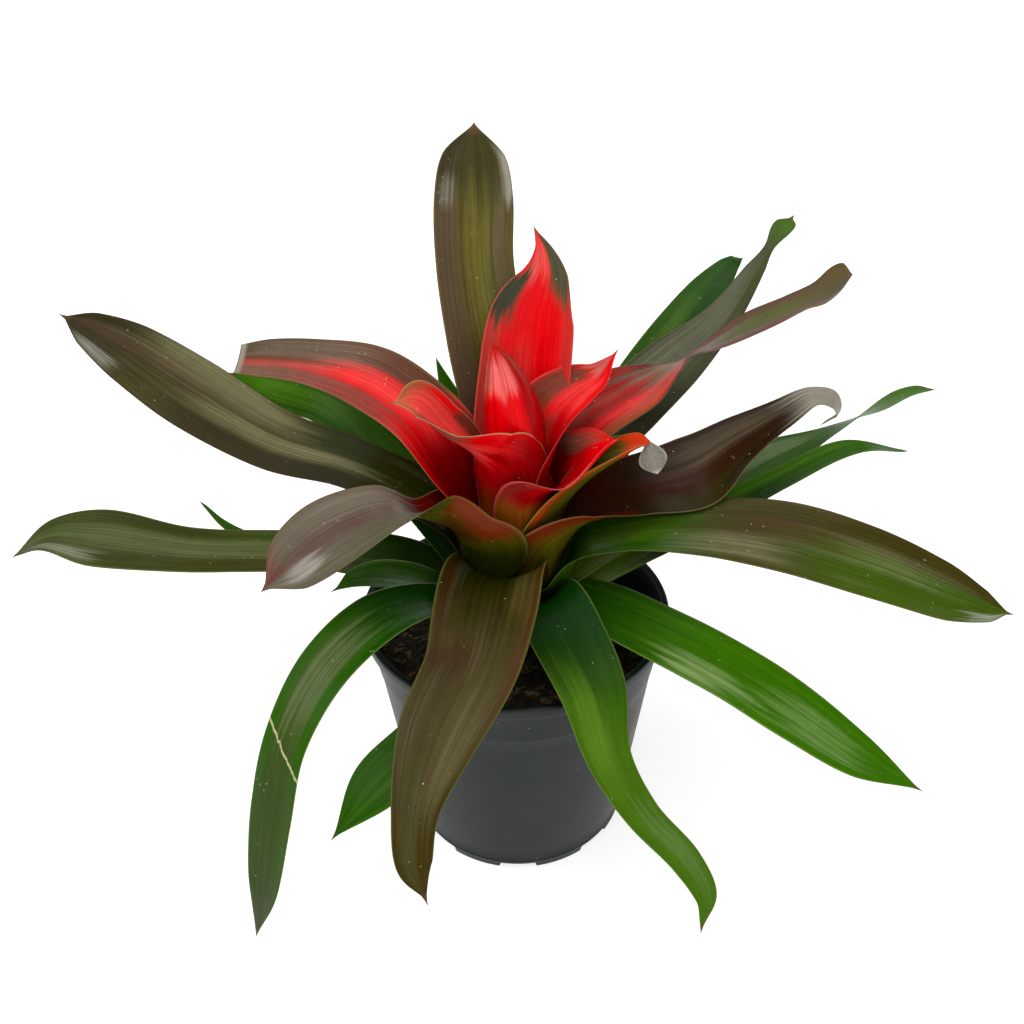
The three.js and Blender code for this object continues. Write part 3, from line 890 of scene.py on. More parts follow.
@dataclass(frozen=True)
class Leaf:
    """One leaf.

    Each station from the stem to the tip is (out, up, side, width, roll, cup): the distance
    from the pot's axis along the heading, the height, the sway to the left of the heading, the
    width over the surface, the roll about the midrib in degrees, which lifts the left margin,
    and how many degrees of a circle the section bends. spike is the length of the thin point
    that the leaf ends in.
    """

    name: str
    slot: Slot
    heading: float
    stations: tuple[tuple[float, ...], ...]
    finish: LeafFinish
    thickness: float = 1.1
    edge_share: float = 0.45
    tip_width: float = 0.9
    pleats: float = 0.22
    ripple: float = 0.55
    rows_per_station: int = 14
    loop_points: int = 57
    spike: float = 4.0
    spike_rows: int = 5
    spike_taper: float = 1.5
    spike_end: float = 0.1

    def spine(self) -> bpy.types.Mesh:
        """The leaf's midrib as a line, with what its section needs at each point.

        Returns:
            A mesh of edges with the attributes that the leaf tree reads.
        """
        turn = math.radians(self.heading)
        ahead = Vector((math.cos(turn), math.sin(turn), 0))
        aside = Vector((-math.sin(turn), math.cos(turn), 0))
        path = [ahead * s[0] + aside * s[2] + Vector((0, 0, s[1])) for s in self.stations]
        midrib = Curve(path, True)
        form = Curve([s[3:] for s in self.stations], False)
        count = (len(self.stations) - 1) * self.rows_per_station
        points, spreads, facings, halves, bends = [], [], [], [], []
        for i in range(count + 1):
            share = i / count
            before = Vector(midrib.at(share - DIRECTION_STEP))
            along = (Vector(midrib.at(share + DIRECTION_STEP)) - before).normalized()
            width, roll, cup = form.at(share)
            span = (aside - along * aside.dot(along)).normalized()
            tilt = Matrix.Rotation(math.radians(roll), 3, along)
            points.append(Vector(midrib.at(share)) * MM)
            spreads.append(tilt @ span)
            facings.append(tilt @ along.cross(span))
            halves.append(max(width, self.tip_width) / 2 * MM)
            bends.append(max(math.radians(cup) / 2, FLATTEST_BEND))
        ahead_of_tip = (points[-1] - points[-2]).normalized()
        for i in range(1, self.spike_rows + 1 if self.spike else 1):
            share = i / self.spike_rows
            points.append(points[count] + ahead_of_tip * self.spike * share * MM)
            spreads.append(spreads[count])
            facings.append(facings[count])
            halves.append(halves[count] * (1 - share) ** self.spike_taper + self.spike_end * MM)
            bends.append(bends[count])
        runs = [0.0]
        for first, second in zip(points, points[1:]):
            runs.append(runs[-1] + (second - first).length)
        mesh = bpy.data.meshes.new(self.name + "_spine")
        mesh.from_pydata([tuple(p) for p in points], [(i, i + 1) for i in range(len(points) - 1)], [])
        for key, vectors in (("spread", spreads), ("facing", facings)):
            kept = mesh.attributes.new(key, "FLOAT_VECTOR", "POINT")
            kept.data.foreach_set("vector", [part for vector in vectors for part in vector])
        shares = [run / runs[-1] for run in runs]
        for key, numbers in (("half", halves), ("bend", bends), ("run", runs), ("along", shares)):
            mesh.attributes.new(key, "FLOAT", "POINT").data.foreach_set("value", numbers)
        return mesh

    def build(self, tree: bpy.types.NodeTree) -> bpy.types.Object:
        """Builds and dresses the leaf.

        Args:
            tree: The leaf tree.

        Returns:
            The finished leaf.
        """
        values = {
            "Loop Points": self.loop_points,
            "Thickness": self.thickness * MM,
            "Edge Share": self.edge_share,
            "Pleat Height": self.pleats * MM,
            "Ripple Height": self.ripple * MM,
            "Seed": self.finish.seed,
            "Material": self.finish.material(self.name),
        }
        return seat(run_tree(self.name + "_blade", self.spine(), tree, values), self.slot, self.name)


LEAVES = (
    Leaf("heart_hood", Slot.RED, 270, (
        (4, 168, 0, 13, 0, 180), (9, 176, 0, 30, 0, 190), (11.5, 192, 0, 41, 0, 205),
        (13, 218, 1, 47, 0, 205), (13.5, 243, 1, 49, 0, 205), (10, 262, -2, 37, 0, 195),
        (5, 274, -5, 20, 0, 180), (2, 282, -8, 2, 0, 120),
    ), red_leaf(1.0, (
        Patch(DEEP_RED, (0.0, 0.5), strength=0.75),
        Patch((150, 0, 2), (0.4, 0.92), (0.25, 1.5), 0.08, 0.1, 0.7),
        Patch((150, 0, 2), (0.4, 0.8), (-1.5, -0.6), 0.08, 0.1, 0.5),
        # a painted highlight, pale pink, on the hood's outer face
        Patch((255, 150, 144), (0.79, 0.93), (-0.5, 0.3), 0.03, 0.08, 0.6, lined=0.4),
        # painted reflections, grey, on both shoulders of the hood
        Patch(GREY_BRONZE, (0.84, 0.95), (0.5, 0.9), 0.03, 0.1, 0.6, lined=0.3),
        Patch(GREY_BRONZE, (0.8, 0.93), (-0.95, -0.45), 0.04, 0.12, 0.6, lined=0.3),
        Patch(BROWN, (0.93, 1.0), strength=0.5),
    ), streak_share=0.3)),
    Leaf("heart_right", Slot.RED, 28, (
        (5, 165, 0, 17, 0, 180), (11, 175, 0, 38, 0, 180), (14.4, 192, 0, 48, 0, 190),
        (16.5, 222, 0, 48, 5, 160), (23, 242, 0, 40, 12, 110), (34, 250, 0, 31, 15, 90),
        (47, 255, 0, 18, 15, 90), (55, 264, 0, 2, 10, 90),
    ), red_leaf(2.0, (
        Patch(DEEP_RED, (0.2, 0.5), strength=0.6),
        Patch(DEEP_RED, (0.4, 0.68), (-1.5, -0.1), strength=0.4),
        Patch(PINK_RED, (0.68, 0.86), (-0.6, 0.2), strength=0.45, lined=0.6),
        Patch((178, 140, 128), (0.86, 0.96), (0.0, 1.0), 0.02, 0.08, 0.6, lined=0.3),
        Patch(MOSS, (0.62, 0.84), (0.25, 0.95), 0.03, strength=0.8),
        Patch(MOSS, (0.5, 0.62), (-0.1, 0.35), 0.04, strength=0.55),
    ))),
    Leaf("heart_left", Slot.RED, 195, (
        (3, 163, 3, 21, 45, 190), (9, 174, 9.5, 42, 48, 190), (10.5, 194, 12.5, 56, 48, 202),
        (11, 209, 13, 60, 48, 205), (13, 224, 12.4, 60, 48, 185), (19, 232.5, 9.5, 49, 26, 150),
        (32, 245, 4.5, 38, -6, 95), (44, 259, -1, 24, -28, 70), (53, 261, 0, 2, -30, 90),
    ), red_leaf(3.0, (
        Patch(DEEP_RED, (0.15, 0.56), strength=0.7),
        Patch((116, 62, 8), (0.0, 0.4), soft=0.09, strength=0.85, face=Face.LOWER),
        # a painted highlight, pale pink, on the cup
        Patch((255, 92, 84), (0.6, 0.95), (-0.7, 0.55), strength=0.75, lined=0.3),
        Patch(MOSS, (0.6, 0.74), (-1.5, -0.6), 0.03, strength=0.8),
        Patch((150, 90, 60), (0.88, 0.97), (-1.5, -0.6), 0.03, strength=0.7),
        Patch(GREY_BRONZE, (0.7, 0.93), (0.55, 1.5), 0.04, strength=0.75),
        Patch(STRAW, (0.93, 1.0), strength=0.7),
    ), margin=CREAM)),
    Leaf("heart_back", Slot.RED, 83, (
        (7, 160, 0, 24, 0, 180), (13.5, 170, 0, 42, 0, 175), (18, 190, 0, 50, 0, 160),
        (24, 222, -1, 52, 0, 115), (31, 252, -3, 48, 0, 80), (39, 280, -6, 42, 0, 60),
        (44, 299, -11, 23, 0, 50), (46, 310, -10, 9, 0, 40), (46.5, 317, -7, 2, 0, 40),
    ), red_leaf(4.0, (
        Patch((196, 74, 60), (0.4, 0.76), (0.62, 1.5), 0.04, 0.12, 0.75),
        Patch((190, 60, 52), (0.4, 0.8), (-1.5, -0.7), 0.04, 0.12, 0.6),
        Patch((66, 72, 52), (0.72, 0.87), (0.46, 1.5), 0.03, 0.12),
        Patch((82, 82, 58), (0.79, 0.97), (-1.5, -0.25), 0.03, 0.14),
        Patch((240, 128, 116), (0.86, 0.97), (-0.2, 0.8), 0.03, 0.1, 0.5, lined=0.4),
        Patch(PINK_RED, (0.5, 0.66), (-0.1, 0.4), strength=0.3, lined=0.5),
    ))),
    Leaf("leaf_right_red_twisted", Slot.RED, 37, (
        (7.5, 158, 0, 26, 0, 190), (15, 169, 0, 50, 0, 185), (18.6, 190, 0, 58, 0, 175),
        (25, 211, 0, 52, 0, 125), (44, 227, 0, 45, 8, 70), (78, 235, 0, 38, 8, 45),
        (100, 240, 0, 27, -15, 40), (118, 243, 0, 13, -50, 30), (150, 247, 0, 20, -75, 20),
        (190, 249, 0, 19, -80, 20), (214, 251, 0, 18, -82, 30), (231, 253, 0, 24, -86, 40),
        (243, 255, 0, 20, -86, 50), (249, 256, 0, 3, -86, 40),
    ), red_leaf(5.0, (
        Patch(BROWN, (0.1, 0.44), (-0.2, 1.5), 0.1, 0.2, 0.6),
        Patch(OLIVE, (0.2, 0.4), (-1.5, -0.55), 0.05, 0.1, 0.7),
        Patch(PURPLE_BRONZE, (0.4, 1.0), streaky=0.2, strength=0.9),
        # a painted sheen, pale grey-bronze, across the middle of the blade
        Patch((150, 136, 114), (0.44, 0.72), (-0.5, 0.6), strength=0.75, lined=0.3),
        Patch(PINK_RED, (0.3, 0.5), (-0.85, -0.35), 0.08, 0.1, 0.6),
        Patch((104, 98, 60), (0.6, 1.0), (-0.9, 0.5), 0.1, 0.2, 0.7),
        Patch((92, 110, 20), (0.64, 0.84), (-0.5, 0.3), 0.06, 0.16, 0.8, lined=0.3),
        Patch((98, 86, 38), (0.84, 1.0), strength=0.7),
        Patch((50, 38, 16), (0.95, 1.0), (0.0, 1.5), strength=0.8),
    ), bloom=0.15, streak=PINK_RED, streak_share=0.35, margin=GREY_BRONZE, tip_share=0.3), spike=2),
    Leaf("heart_right_low", Slot.RED, 345, (
        (8, 155, 0, 28, 0, 200), (16.5, 167, 0, 58, 0, 205), (20, 186, 0, 70, 0, 205),
        (22.5, 212, 0, 74, 0, 190), (31, 222, 0, 46, 20, 115), (41, 233, 0, 28, 14, 90),
        (48, 239, 0, 2, 0, 90),
    ), red_leaf(6.0, (
        Patch((122, 0, 4), (0.2, 0.8), strength=0.9, face=Face.UPPER),
        Patch(HEART_RED, (0.66, 0.95), (-0.5, 0.4), strength=0.5),
        Patch(PINK_RED, (0.5, 0.85), (-1.5, -0.8), 0.04, 0.05, 0.8),
        Patch(GREY_BRONZE, (0.68, 0.9), (0.4, 0.9), strength=0.6),
        Patch((110, 0, 2), (0.3, 0.66), face=Face.LOWER, strength=0.8),
        Patch((128, 74, 10), (0.0, 0.56), soft=0.03, streaky=0.03, face=Face.LOWER, strength=0.85),
    ))),
    Leaf("heart_right_withered_tip", Slot.GREEN, 350, (
        (8, 152, 0, 28, 0, 190), (17.5, 164, 0, 56, 0, 180), (21.4, 185, 0, 60, 0, 165),
        (28, 206, 0, 50, 0, 125), (39, 220, 0, 36, 0, 110), (51, 230, 0, 24, 0, 100),
        (59, 236, 0, 15, 0, 80), (64, 237, 0, 2, 0, 80),
    ), green_leaf(7.0, (
        Patch(BROWN, (0.1, 0.7), strength=0.75),
        Patch((84, 82, 14), (0.3, 0.9), (-0.8, 0.2), strength=0.85),
        Patch(DEEP_RED, (0.3, 0.68), face=Face.UPPER, strength=0.9),
        Patch((196, 62, 14), (0.45, 0.95), (-1.5, -0.86), 0.04, 0.04, 0.8),
        Patch(ORANGE_RED, (0.88, 1.0), soft=0.04),
        Patch(BROWN, (0.62, 0.86), (0.4, 1.5), strength=0.7),
    ), blade=OLIVE, streak=BRONZE, back=OLIVE, tip=ORANGE_RED), spike=0),
    Leaf("leaf_left_red", Slot.RED, 158, (
        (8, 150, 0, 30, 0, 200), (19, 166, 0, 70, 0, 220), (23, 192, 0, 92, 0, 235),
        (31, 216, 4, 56, -10, 100), (46, 238, 2, 39, -28, 65), (72, 253, 0, 34, -38, 30),
        (105, 257, 0, 25, -40, 20), (132, 255, 0, 21, -40, 20), (149, 252, 0, 16, -40, 20),
    ), red_leaf(8.0, (
        Patch(DEEP_RED, (0.1, 0.42), strength=0.8),
        Patch(PINK_RED, (0.44, 0.7), (-0.25, 0.3), 0.08, 0.12, 0.45, lined=0.4),
        Patch(MOSS, (0.44, 1.0), (-1.5, -0.3), 0.05, 0.2, 0.9),
        Patch((104, 70, 58), (0.5, 1.0), (0.42, 1.5), 0.1, 0.16, 0.8),
        Patch((128, 92, 82), (0.72, 1.0), strength=0.6, lined=0.3),
        Patch((84, 66, 36), (0.76, 1.0), (-1.5, 0.1), 0.06, 0.24, 0.9),
        Patch(GREY_BRONZE, (0.84, 1.0), (0.2, 1.5), 0.06, 0.1, 0.6, lined=0.5),
        Patch((122, 110, 96), (0.64, 0.96), (-0.9, -0.1), 0.06, 0.14, 0.6, lined=0.3),
        Patch(HEART_RED, (0.12, 0.45), (0.75, 1.5), strength=0.6),
    ), bloom=0.12, margin=STRAW, tip=ASH), spike=0),
    Leaf("leaf_back_tall", Slot.BRONZE, 95, (
        (8, 148, 0, 28, 0, 180), (20, 160, 0, 40, 0, 130), (25.5, 184, 1, 42, 0, 95),
        (34, 225, 1, 42, 0, 60), (45, 265, 8, 40, 0, 45), (56, 300, 12, 38, 0, 40),
        (65, 328, 11, 38, 0, 40), (71, 347, 10, 30, 0, 60), (74, 359, 9, 2, 0, 60),
    ), bronze_leaf(9.0, (
        Patch(DARK_BRONZE, (0.1, 0.5), strength=0.35),
        Patch((112, 110, 36), (0.4, 0.84), (-0.4, 0.15), 0.12, 0.14, 0.7, lined=0.5),
        Patch((96, 76, 60), (0.3, 1.0), (0.45, 1.5), strength=0.8),
        Patch(GREY_BRONZE, (0.5, 0.92), (-0.85, -0.5), strength=0.6, lined=0.4),
        Patch((56, 54, 28), (0.86, 1.0), strength=0.75),
        # painted highlights, ash white, on both margins near the tip
        Patch(ASH, (0.85, 0.96), (-1.5, -0.8), 0.02, 0.05, 0.85),
        Patch(ASH, (0.84, 0.9), (0.5, 0.85), 0.02, 0.05, 0.4, lined=0.5),
    ), blade=(100, 92, 40), streak=(72, 62, 28)), spike=1.5),
    Leaf("leaf_right_brown_curled", Slot.BRONZE, 8, (
        (8, 146, 0, 30, 0, 190), (19.5, 158, -7, 74, -20, 200), (24, 177, -9, 76, -20, 176),
        (36, 192, -4, 56, 0, 105), (62, 199, 0, 42, 15, 50), (92, 206, 0, 43, 25, 35),
        (112, 221, 0, 34, 12, 40), (132, 234, 0, 22, 10, 40), (146, 243, 0, 11, 32, 40),
        (157, 240, 0, 11, 36, 40), (160, 233, 0, 9, 36, 40), (155, 229, 0, 3, 36, 40),
    ), bronze_leaf(10.0, (
        Patch((96, 84, 8), (0.0, 0.34), strength=0.9, face=Face.LOWER),
        Patch((54, 64, 6), (0.0, 0.15), soft=0.06, strength=0.85),
        Patch((124, 28, 8), (0.18, 0.36), (-1.5, -0.72), 0.03, 0.05, 0.85),
        Patch((88, 28, 10), (0.12, 0.34), strength=0.6, face=Face.UPPER),
        Patch((66, 26, 8), (0.36, 0.66), (-0.5, 0.25), 0.1, 0.14, 0.6),
        Patch((60, 56, 18), (0.4, 0.66), (-1.5, -0.4), 0.08, 0.14, 0.5),
        # a painted sheen, grey-bronze, on the far part of the blade
        Patch(GREY_BRONZE, (0.52, 0.8), (0.1, 0.8), 0.08, 0.14, 0.5, lined=0.4),
        Patch(ASH, (0.82, 1.0), strength=0.75),
    ), blade=(44, 27, 9), streak=(30, 18, 4), back=GREY_BRONZE, tip_share=0.3)),
    Leaf("leaf_left_folded", Slot.BRONZE, 212, (
        (8, 144, 0, 30, 0, 200), (22, 157, -3, 42, -8, 108), (28, 172, -4, 46, -8, 100),
        (30.5, 189, 0, 74, 0, 156), (36, 198, 0, 52, 6, 150), (46, 206, 0, 38, 30, 150),
        (66, 218, 0, 36, -2, 50), (95, 216, 0, 38, -18, 20), (115, 207, 0, 30, -18, 20),
        (126, 201, 0, 4, -15, 20),
    ), bronze_leaf(11.0, (
        Patch((72, 70, 6), (0.0, 0.38), strength=0.9),
        Patch((40, 48, 4), (0.0, 0.316), soft=0.01, streaky=0.01, strength=0.9, face=Face.LOWER),
        Patch((132, 36, 12), (0.335, 0.46), (0.5, 1.5), 0.012, 0.02, 0.8, Face.LOWER),
        Patch((84, 26, 4), (0.34, 0.44), (-1.5, 0.5), 0.02, 0.04, 0.7, Face.LOWER),
        Patch(DEEP_RED, (0.3, 0.58), (-1.5, -0.4), 0.05, 0.06, 0.9, Face.UPPER),
        Patch((114, 104, 88), (0.5, 1.0), strength=0.8, face=Face.UPPER),
        Patch((96, 68, 60), (0.6, 1.0), (-0.3, 0.2), 0.1, 0.16, 0.75),
        # a painted sheen, pale grey, on the blade
        Patch((142, 132, 116), (0.5, 0.78), (-0.9, -0.2), 0.08, 0.14, 0.45, lined=0.4),
        Patch((86, 92, 66), (0.6, 0.9), (0.4, 1.5), 0.08, 0.14, 0.5, lined=0.4),
        # a painted sheen, whitish, near the tip
        Patch((200, 196, 188), (0.85, 0.93), (0.1, 0.65), 0.03, 0.08, 0.6, lined=0.4),
        Patch((120, 26, 24), (0.92, 1.0), (-1.5, 0.0), 0.03, strength=0.5),
    ), back=OLIVE, bloom=0.1)),
    Leaf("leaf_right_back_bronze", Slot.BRONZE, 46, (
        (8, 142, 0, 28, 0, 170), (24, 160, 0, 42, 0, 110), (36, 187, 0, 42, 0, 75),
        (55, 203, 0, 40, 8, 55), (90, 217, 0, 38, 18, 35), (130, 229, 0, 35, 15, 30),
        (170, 243, -2, 23, 5, 30), (205, 262, 0, 13, 0, 30), (217, 271, 0, 7, 0, 30),
        (228, 278, 0, 13, 8, 50), (234, 281, 0, 12, 8, 50), (238, 283, 0, 3, 0, 50),
    ), bronze_leaf(12.0, (
        Patch((50, 54, 22), (0.0, 0.5), strength=0.6),
        # a painted sheen, whitish grey, along the blade
        Patch((114, 116, 96), (0.3, 0.86), (-0.3, 0.9), 0.08, 0.14, 0.7, lined=0.4),
        Patch((72, 84, 40), (0.76, 1.0), (-0.9, 0.1), strength=0.5),
        Patch(FRESH_GREEN, (0.93, 1.0), strength=0.7),
    ), blade=(74, 80, 52), streak=(56, 60, 36))),
    Leaf("leaf_left_upper_bronze", Slot.BRONZE, 168, (
        (8, 140, 0, 28, 0, 180), (24, 157, 0, 44, 0, 120), (34, 184, 0, 42, -5, 90),
        (48, 196, 0, 34, -15, 60), (82, 212, 0, 28, -35, 30), (121, 222, 0, 33, -38, 20),
        (160, 244, 0, 37, -40, 20), (190, 264, 0, 31, -40, 30), (209, 275, 0, 18, -40, 40),
        (219, 280, 0, 2, -40, 40),
    ), bronze_leaf(13.0, (
        Patch((40, 48, 4), (0.08, 0.5), strength=0.9),
        Patch(DARK_BRONZE, (0.2, 0.75), (0.4, 1.5), strength=0.6),
        # painted sheens, pale grey, in the middle and along the back margin
        Patch((150, 146, 106), (0.38, 0.7), (-0.1, 0.3), 0.08, 0.16, 0.6, lined=0.4),
        Patch((150, 150, 108), (0.54, 0.82), (-1.0, -0.3), 0.08, 0.14, 0.5, lined=0.3),
        Patch(DARK_BRONZE, (0.86, 1.0), strength=0.6),
        # a painted sheen, whitish, near the tip
        Patch((186, 186, 168), (0.87, 0.95), (0.5, 0.9), 0.02, 0.05, 0.6, lined=0.5),
        Patch(PURPLE_BRONZE, (0.7, 0.97), (-0.6, 0.0), strength=0.4),
    ), blade=(72, 68, 26), streak=(46, 42, 12), margin=(132, 92, 66))),
    Leaf("leaf_right_long_bronze", Slot.BRONZE, 350, (
        (8, 138, 0, 28, 0, 170), (25, 156, 0, 42, 0, 110), (35, 175, 0, 40, 0, 75),
        (55, 185, 0, 32, 8, 50), (89, 192, 0, 34, 20, 25), (130, 191, 0, 38, 30, 15),
        (170, 181, 0, 38, 30, 10), (208, 167, 0, 32, 25, 20), (228, 160, 0, 18, 20, 30),
        (237, 158, 0, 2, 20, 30),
    ), bronze_leaf(14.0, (
        Patch((44, 92, 4), (0.0, 0.4), soft=0.1, strength=0.95),
        Patch((104, 136, 30), (0.16, 0.32), (-0.4, 0.5), 0.08, 0.1, 0.6, lined=0.3),
        Patch(BROWN, (0.4, 0.7), (-0.2, 0.5), strength=0.3),
        # a painted sheen, pale grey, in the middle of the blade
        Patch((150, 148, 110), (0.38, 0.56), (-0.8, -0.1), 0.06, 0.14, 0.5, lined=0.45),
        Patch((70, 104, 18), (0.6, 1.0), (-1.5, 0.3), 0.12, 0.14, 0.75),
        # painted sheens, pale grey on the far blade and whitish near the tip
        Patch((128, 134, 92), (0.64, 0.86), (-0.2, 0.5), 0.1, 0.16, 0.45, lined=0.5),
        Patch((216, 220, 206), (0.9, 0.965), (-0.95, -0.5), 0.02, 0.1, 0.6, lined=0.5),
    ), blade=(72, 66, 22), streak=(54, 48, 14))),
    Leaf("leaf_front_bronze", Slot.BRONZE, 260, (
        (8, 136, 0, 30, 0, 180), (24, 156, 0, 48, 0, 150), (34, 177, -1, 51, 0, 110),
        (46, 184, -2, 50, 0, 80), (66, 182, -2, 48, 0, 45), (92, 175, -3, 42, 0, 20),
        (122, 162, -12, 34, -10, 10), (148, 146, -16, 20, -20, 10), (162, 131, -14, 15, -30, 20),
        (168, 121, -9, 2, -40, 20),
    ), bronze_leaf(15.0, (
        Patch((26, 32, 0), (0.0, 0.38), soft=0.12, strength=0.95),
        Patch((88, 34, 14), (0.16, 0.6), (0.8, 1.5), 0.08, 0.1, 0.5),
        Patch((96, 84, 34), (0.24, 0.4), (0.4, 0.9), 0.05, 0.1, 0.6, lined=0.4),
        Patch((74, 40, 12), (0.2, 0.44), (-1.5, -0.72), 0.08, 0.1, 0.5),
        Patch((60, 28, 8), (0.48, 0.58), (-1.5, -0.1), 0.04, 0.16, 0.6),
        # a painted sheen, pale olive, on the lower blade
        Patch((122, 112, 72), (0.56, 0.82), (0.1, 0.8), 0.08, 0.14, 0.4, lined=0.3),
        Patch((78, 70, 30), (0.6, 1.0), (-0.8, 0.2), 0.1, 0.14, 0.6),
        Patch((76, 90, 54), (0.78, 0.95), (-0.5, 0.0), 0.05, 0.1, 0.5, lined=0.4),
    ), blade=(70, 60, 14), streak=(52, 40, 10), margin=PALE_GREEN, specks=0.9)),
    Leaf("leaf_back_right_green", Slot.GREEN, 52, (
        (8, 134, 0, 26, 0, 150), (26, 150, 0, 36, 0, 90), (58, 176, 0, 36, 0, 45),
        (105, 211, 0, 34, 0, 30), (150, 234, 0, 31, 0, 25), (190, 250, 0, 25, 0, 20),
        (214, 258, 0, 14, 0, 20), (223, 259, 0, 8, 0, 20),
    ), green_leaf(16.0, (
        Patch(DEEP_GREEN, (0.3, 1.0), (-1.5, 0.0), 0.1, 0.16, 0.5),
        Patch(GREEN_SHEEN, (0.6, 0.8), (0.0, 0.6), strength=0.25, lined=0.5),
    ), blade=(34, 78, 4), streak=(56, 96, 10), tip=LEAF_GREEN), spike=0),
    Leaf("leaf_back_left_green", Slot.GREEN, 149, (
        (8, 132, 0, 26, 0, 150), (27, 150, 0, 36, 0, 90), (60, 192, 0, 36, -15, 50),
        (108, 223, 0, 26, -25, 30), (145, 226, 0, 28, -25, 30), (178, 227, 0, 2, -20, 30),
    ), green_leaf(17.0, (Patch((96, 148, 30), (0.6, 0.92), (-0.3, 0.6), strength=0.5, lined=0.6),))),
    Leaf("leaf_left_low_green", Slot.GREEN, 184, (
        (8, 130, 0, 26, 0, 150), (30, 150, 0, 36, 0, 80), (60, 168, 0, 36, 0, 50),
        (110, 176, 0, 32, -5, 30), (160, 181, 0, 31, -10, 20), (200, 191, 0, 36, -15, 20),
        (223, 194, 0, 20, -15, 30), (240, 185, 0, 2, -15, 40),
    ), green_leaf(18.0, (
        Patch((66, 66, 30), (0.3, 1.0), (0.2, 1.5), 0.1, 0.2, 0.6),
        Patch(DARK_BRONZE, (0.6, 1.0), (-1.5, -0.6), strength=0.4),
        # painted sheens, pale grey-green along the blade and whitish near the tip
        Patch((124, 130, 90), (0.42, 0.9), (-0.5, 0.3), 0.1, 0.2, 0.5, lined=0.5),
        Patch((190, 196, 172), (0.82, 0.93), (0.45, 0.85), 0.03, 0.08, 0.5, lined=0.45),
    ), blade=(62, 76, 22), streak=(84, 92, 42))),
    Leaf("leaf_right_twisted_green", Slot.GREEN, 20, (
        (8, 130, 0, 24, 0, 150), (30, 148, 0, 34, 0, 80), (62, 166, 0, 34, 0, 40),
        (105, 176, 0, 35, 15, 30), (145, 191, 0, 29, 10, 20), (185, 202, 0, 15, -20, 20),
        (215, 211, 0, 16, -65, 20), (232, 215, 0, 10, -70, 20), (245, 214, 0, 2, -60, 20),
    ), green_leaf(19.0, (
        # painted light, pale green, on the foot of the blade, which the leaf above shades
        Patch((176, 204, 70), (0.06, 0.36), (-1.5, 0.3), strength=0.9),
        Patch((66, 84, 52), (0.4, 0.85), strength=0.5),
        Patch((132, 150, 112), (0.5, 0.7), (0.0, 0.7), 0.05, 0.1, 0.5, lined=0.45),
    ))),
    Leaf("leaf_front_right_green", Slot.GREEN, 295, (
        (8, 128, 0, 26, 0, 150), (23, 146, 0, 36, 0, 100), (37, 162, 0, 36, 12, 60),
        (58, 156, 0, 36, 8, 25), (84, 147, -2, 33, 0, 15), (106, 126, -5, 22, 0, 10),
        (126, 107, 1, 17, 0, 10), (148, 94, 11, 15, 0, 10), (161, 85, 13, 11, 0, 10),
        (167, 76, 8, 2, 0, 10),
    ), green_leaf(20.0, (
        Patch((4, 56, 2), (0.1, 0.34), soft=0.1, strength=0.9),
        Patch((4, 56, 2), (0.3, 0.5), (-0.2, 1.5), 0.08, 0.1, 0.5),
        Patch((104, 142, 40), (0.46, 0.64), (-0.8, 0.3), 0.06, 0.12, 0.5, lined=0.3),
        Patch((132, 156, 96), (0.72, 0.9), (-0.3, 0.7), 0.06, 0.12, 0.4, lined=0.5),
    ), blade=(70, 112, 6), streak=(88, 126, 20), streak_share=0.3, rough=0.5, bloom=0.0)),
    Leaf("leaf_front_left_green", Slot.GREEN, 230, (
        (8, 126, 0, 26, 0, 150), (29, 148, 0, 34, 0, 90), (54, 170, 0, 32, 0, 60),
        (90, 185, 0, 32, 0, 30), (125, 181, 1, 28, 0, 15), (152, 162, 4, 24, 0, 10),
        (168, 135, 8, 25, 0, 10), (180, 105, 11, 19, 0, 20), (187, 79, 9, 2, 0, 20),
    ), green_leaf(21.0, (
        Patch((12, 62, 2), (0.15, 0.42), soft=0.1, strength=0.8),
        Patch((66, 64, 34), (0.45, 1.0), (-0.6, 0.5), 0.1, 0.2, 0.5),
        # a painted sheen, pale grey-green, at the bend
        Patch((128, 140, 96), (0.44, 0.62), (-0.5, 0.5), 0.05, 0.12, 0.5, lined=0.5),
        Patch((50, 72, 8), (0.7, 1.0), strength=0.7),
        Patch((50, 56, 18), (0.88, 1.0), strength=0.5),
    ), streak_share=0.35, scar=(0.66, 0.035))),
    Leaf("leaf_back_low_green", Slot.GREEN, 86, (
        (8, 125, 0, 26, 0, 150), (30, 146, 0, 36, 0, 80), (64, 168, 0, 38, 0, 50),
        (105, 182, 0, 38, 0, 30), (145, 184, 0, 26, 0, 30), (172, 176, 0, 2, 0, 30),
    ), green_leaf(22.0)),
    Leaf("leaf_right_front_green", Slot.GREEN, 328, (
        (8, 124, 0, 26, 0, 150), (25, 144, 0, 36, 0, 90), (45, 152, 0, 38, 0, 40),
        (80, 150, 0, 40, 0, 15), (115, 144, 0, 40, 0, 10), (150, 133, 0, 38, 0, 10),
        (182, 121, 0, 27, 0, 10), (206, 116, 0, 2, 0, 20),
    ), green_leaf(23.0, (
        # painted sheens, pale green, on the front half of the blade
        Patch((166, 190, 124), (0.44, 0.58), (-0.9, -0.2), 0.05, 0.14, 0.6, lined=0.45),
        Patch((148, 178, 104), (0.66, 0.84), (-0.7, 0.4), 0.05, 0.14, 0.5, lined=0.5),
    ), blade=(60, 116, 2), streak=(78, 128, 8), streak_share=0.3)),
    Leaf("leaf_left_hidden_green", Slot.GREEN, 176, (
        (8, 123, 0, 22, 0, 150), (30, 142, 0, 28, 0, 80), (60, 154, 0, 26, 0, 50),
        (100, 162, 0, 20, 0, 40), (132, 171, 0, 12, 0, 40), (147, 182, 0, 6, 0, 40),
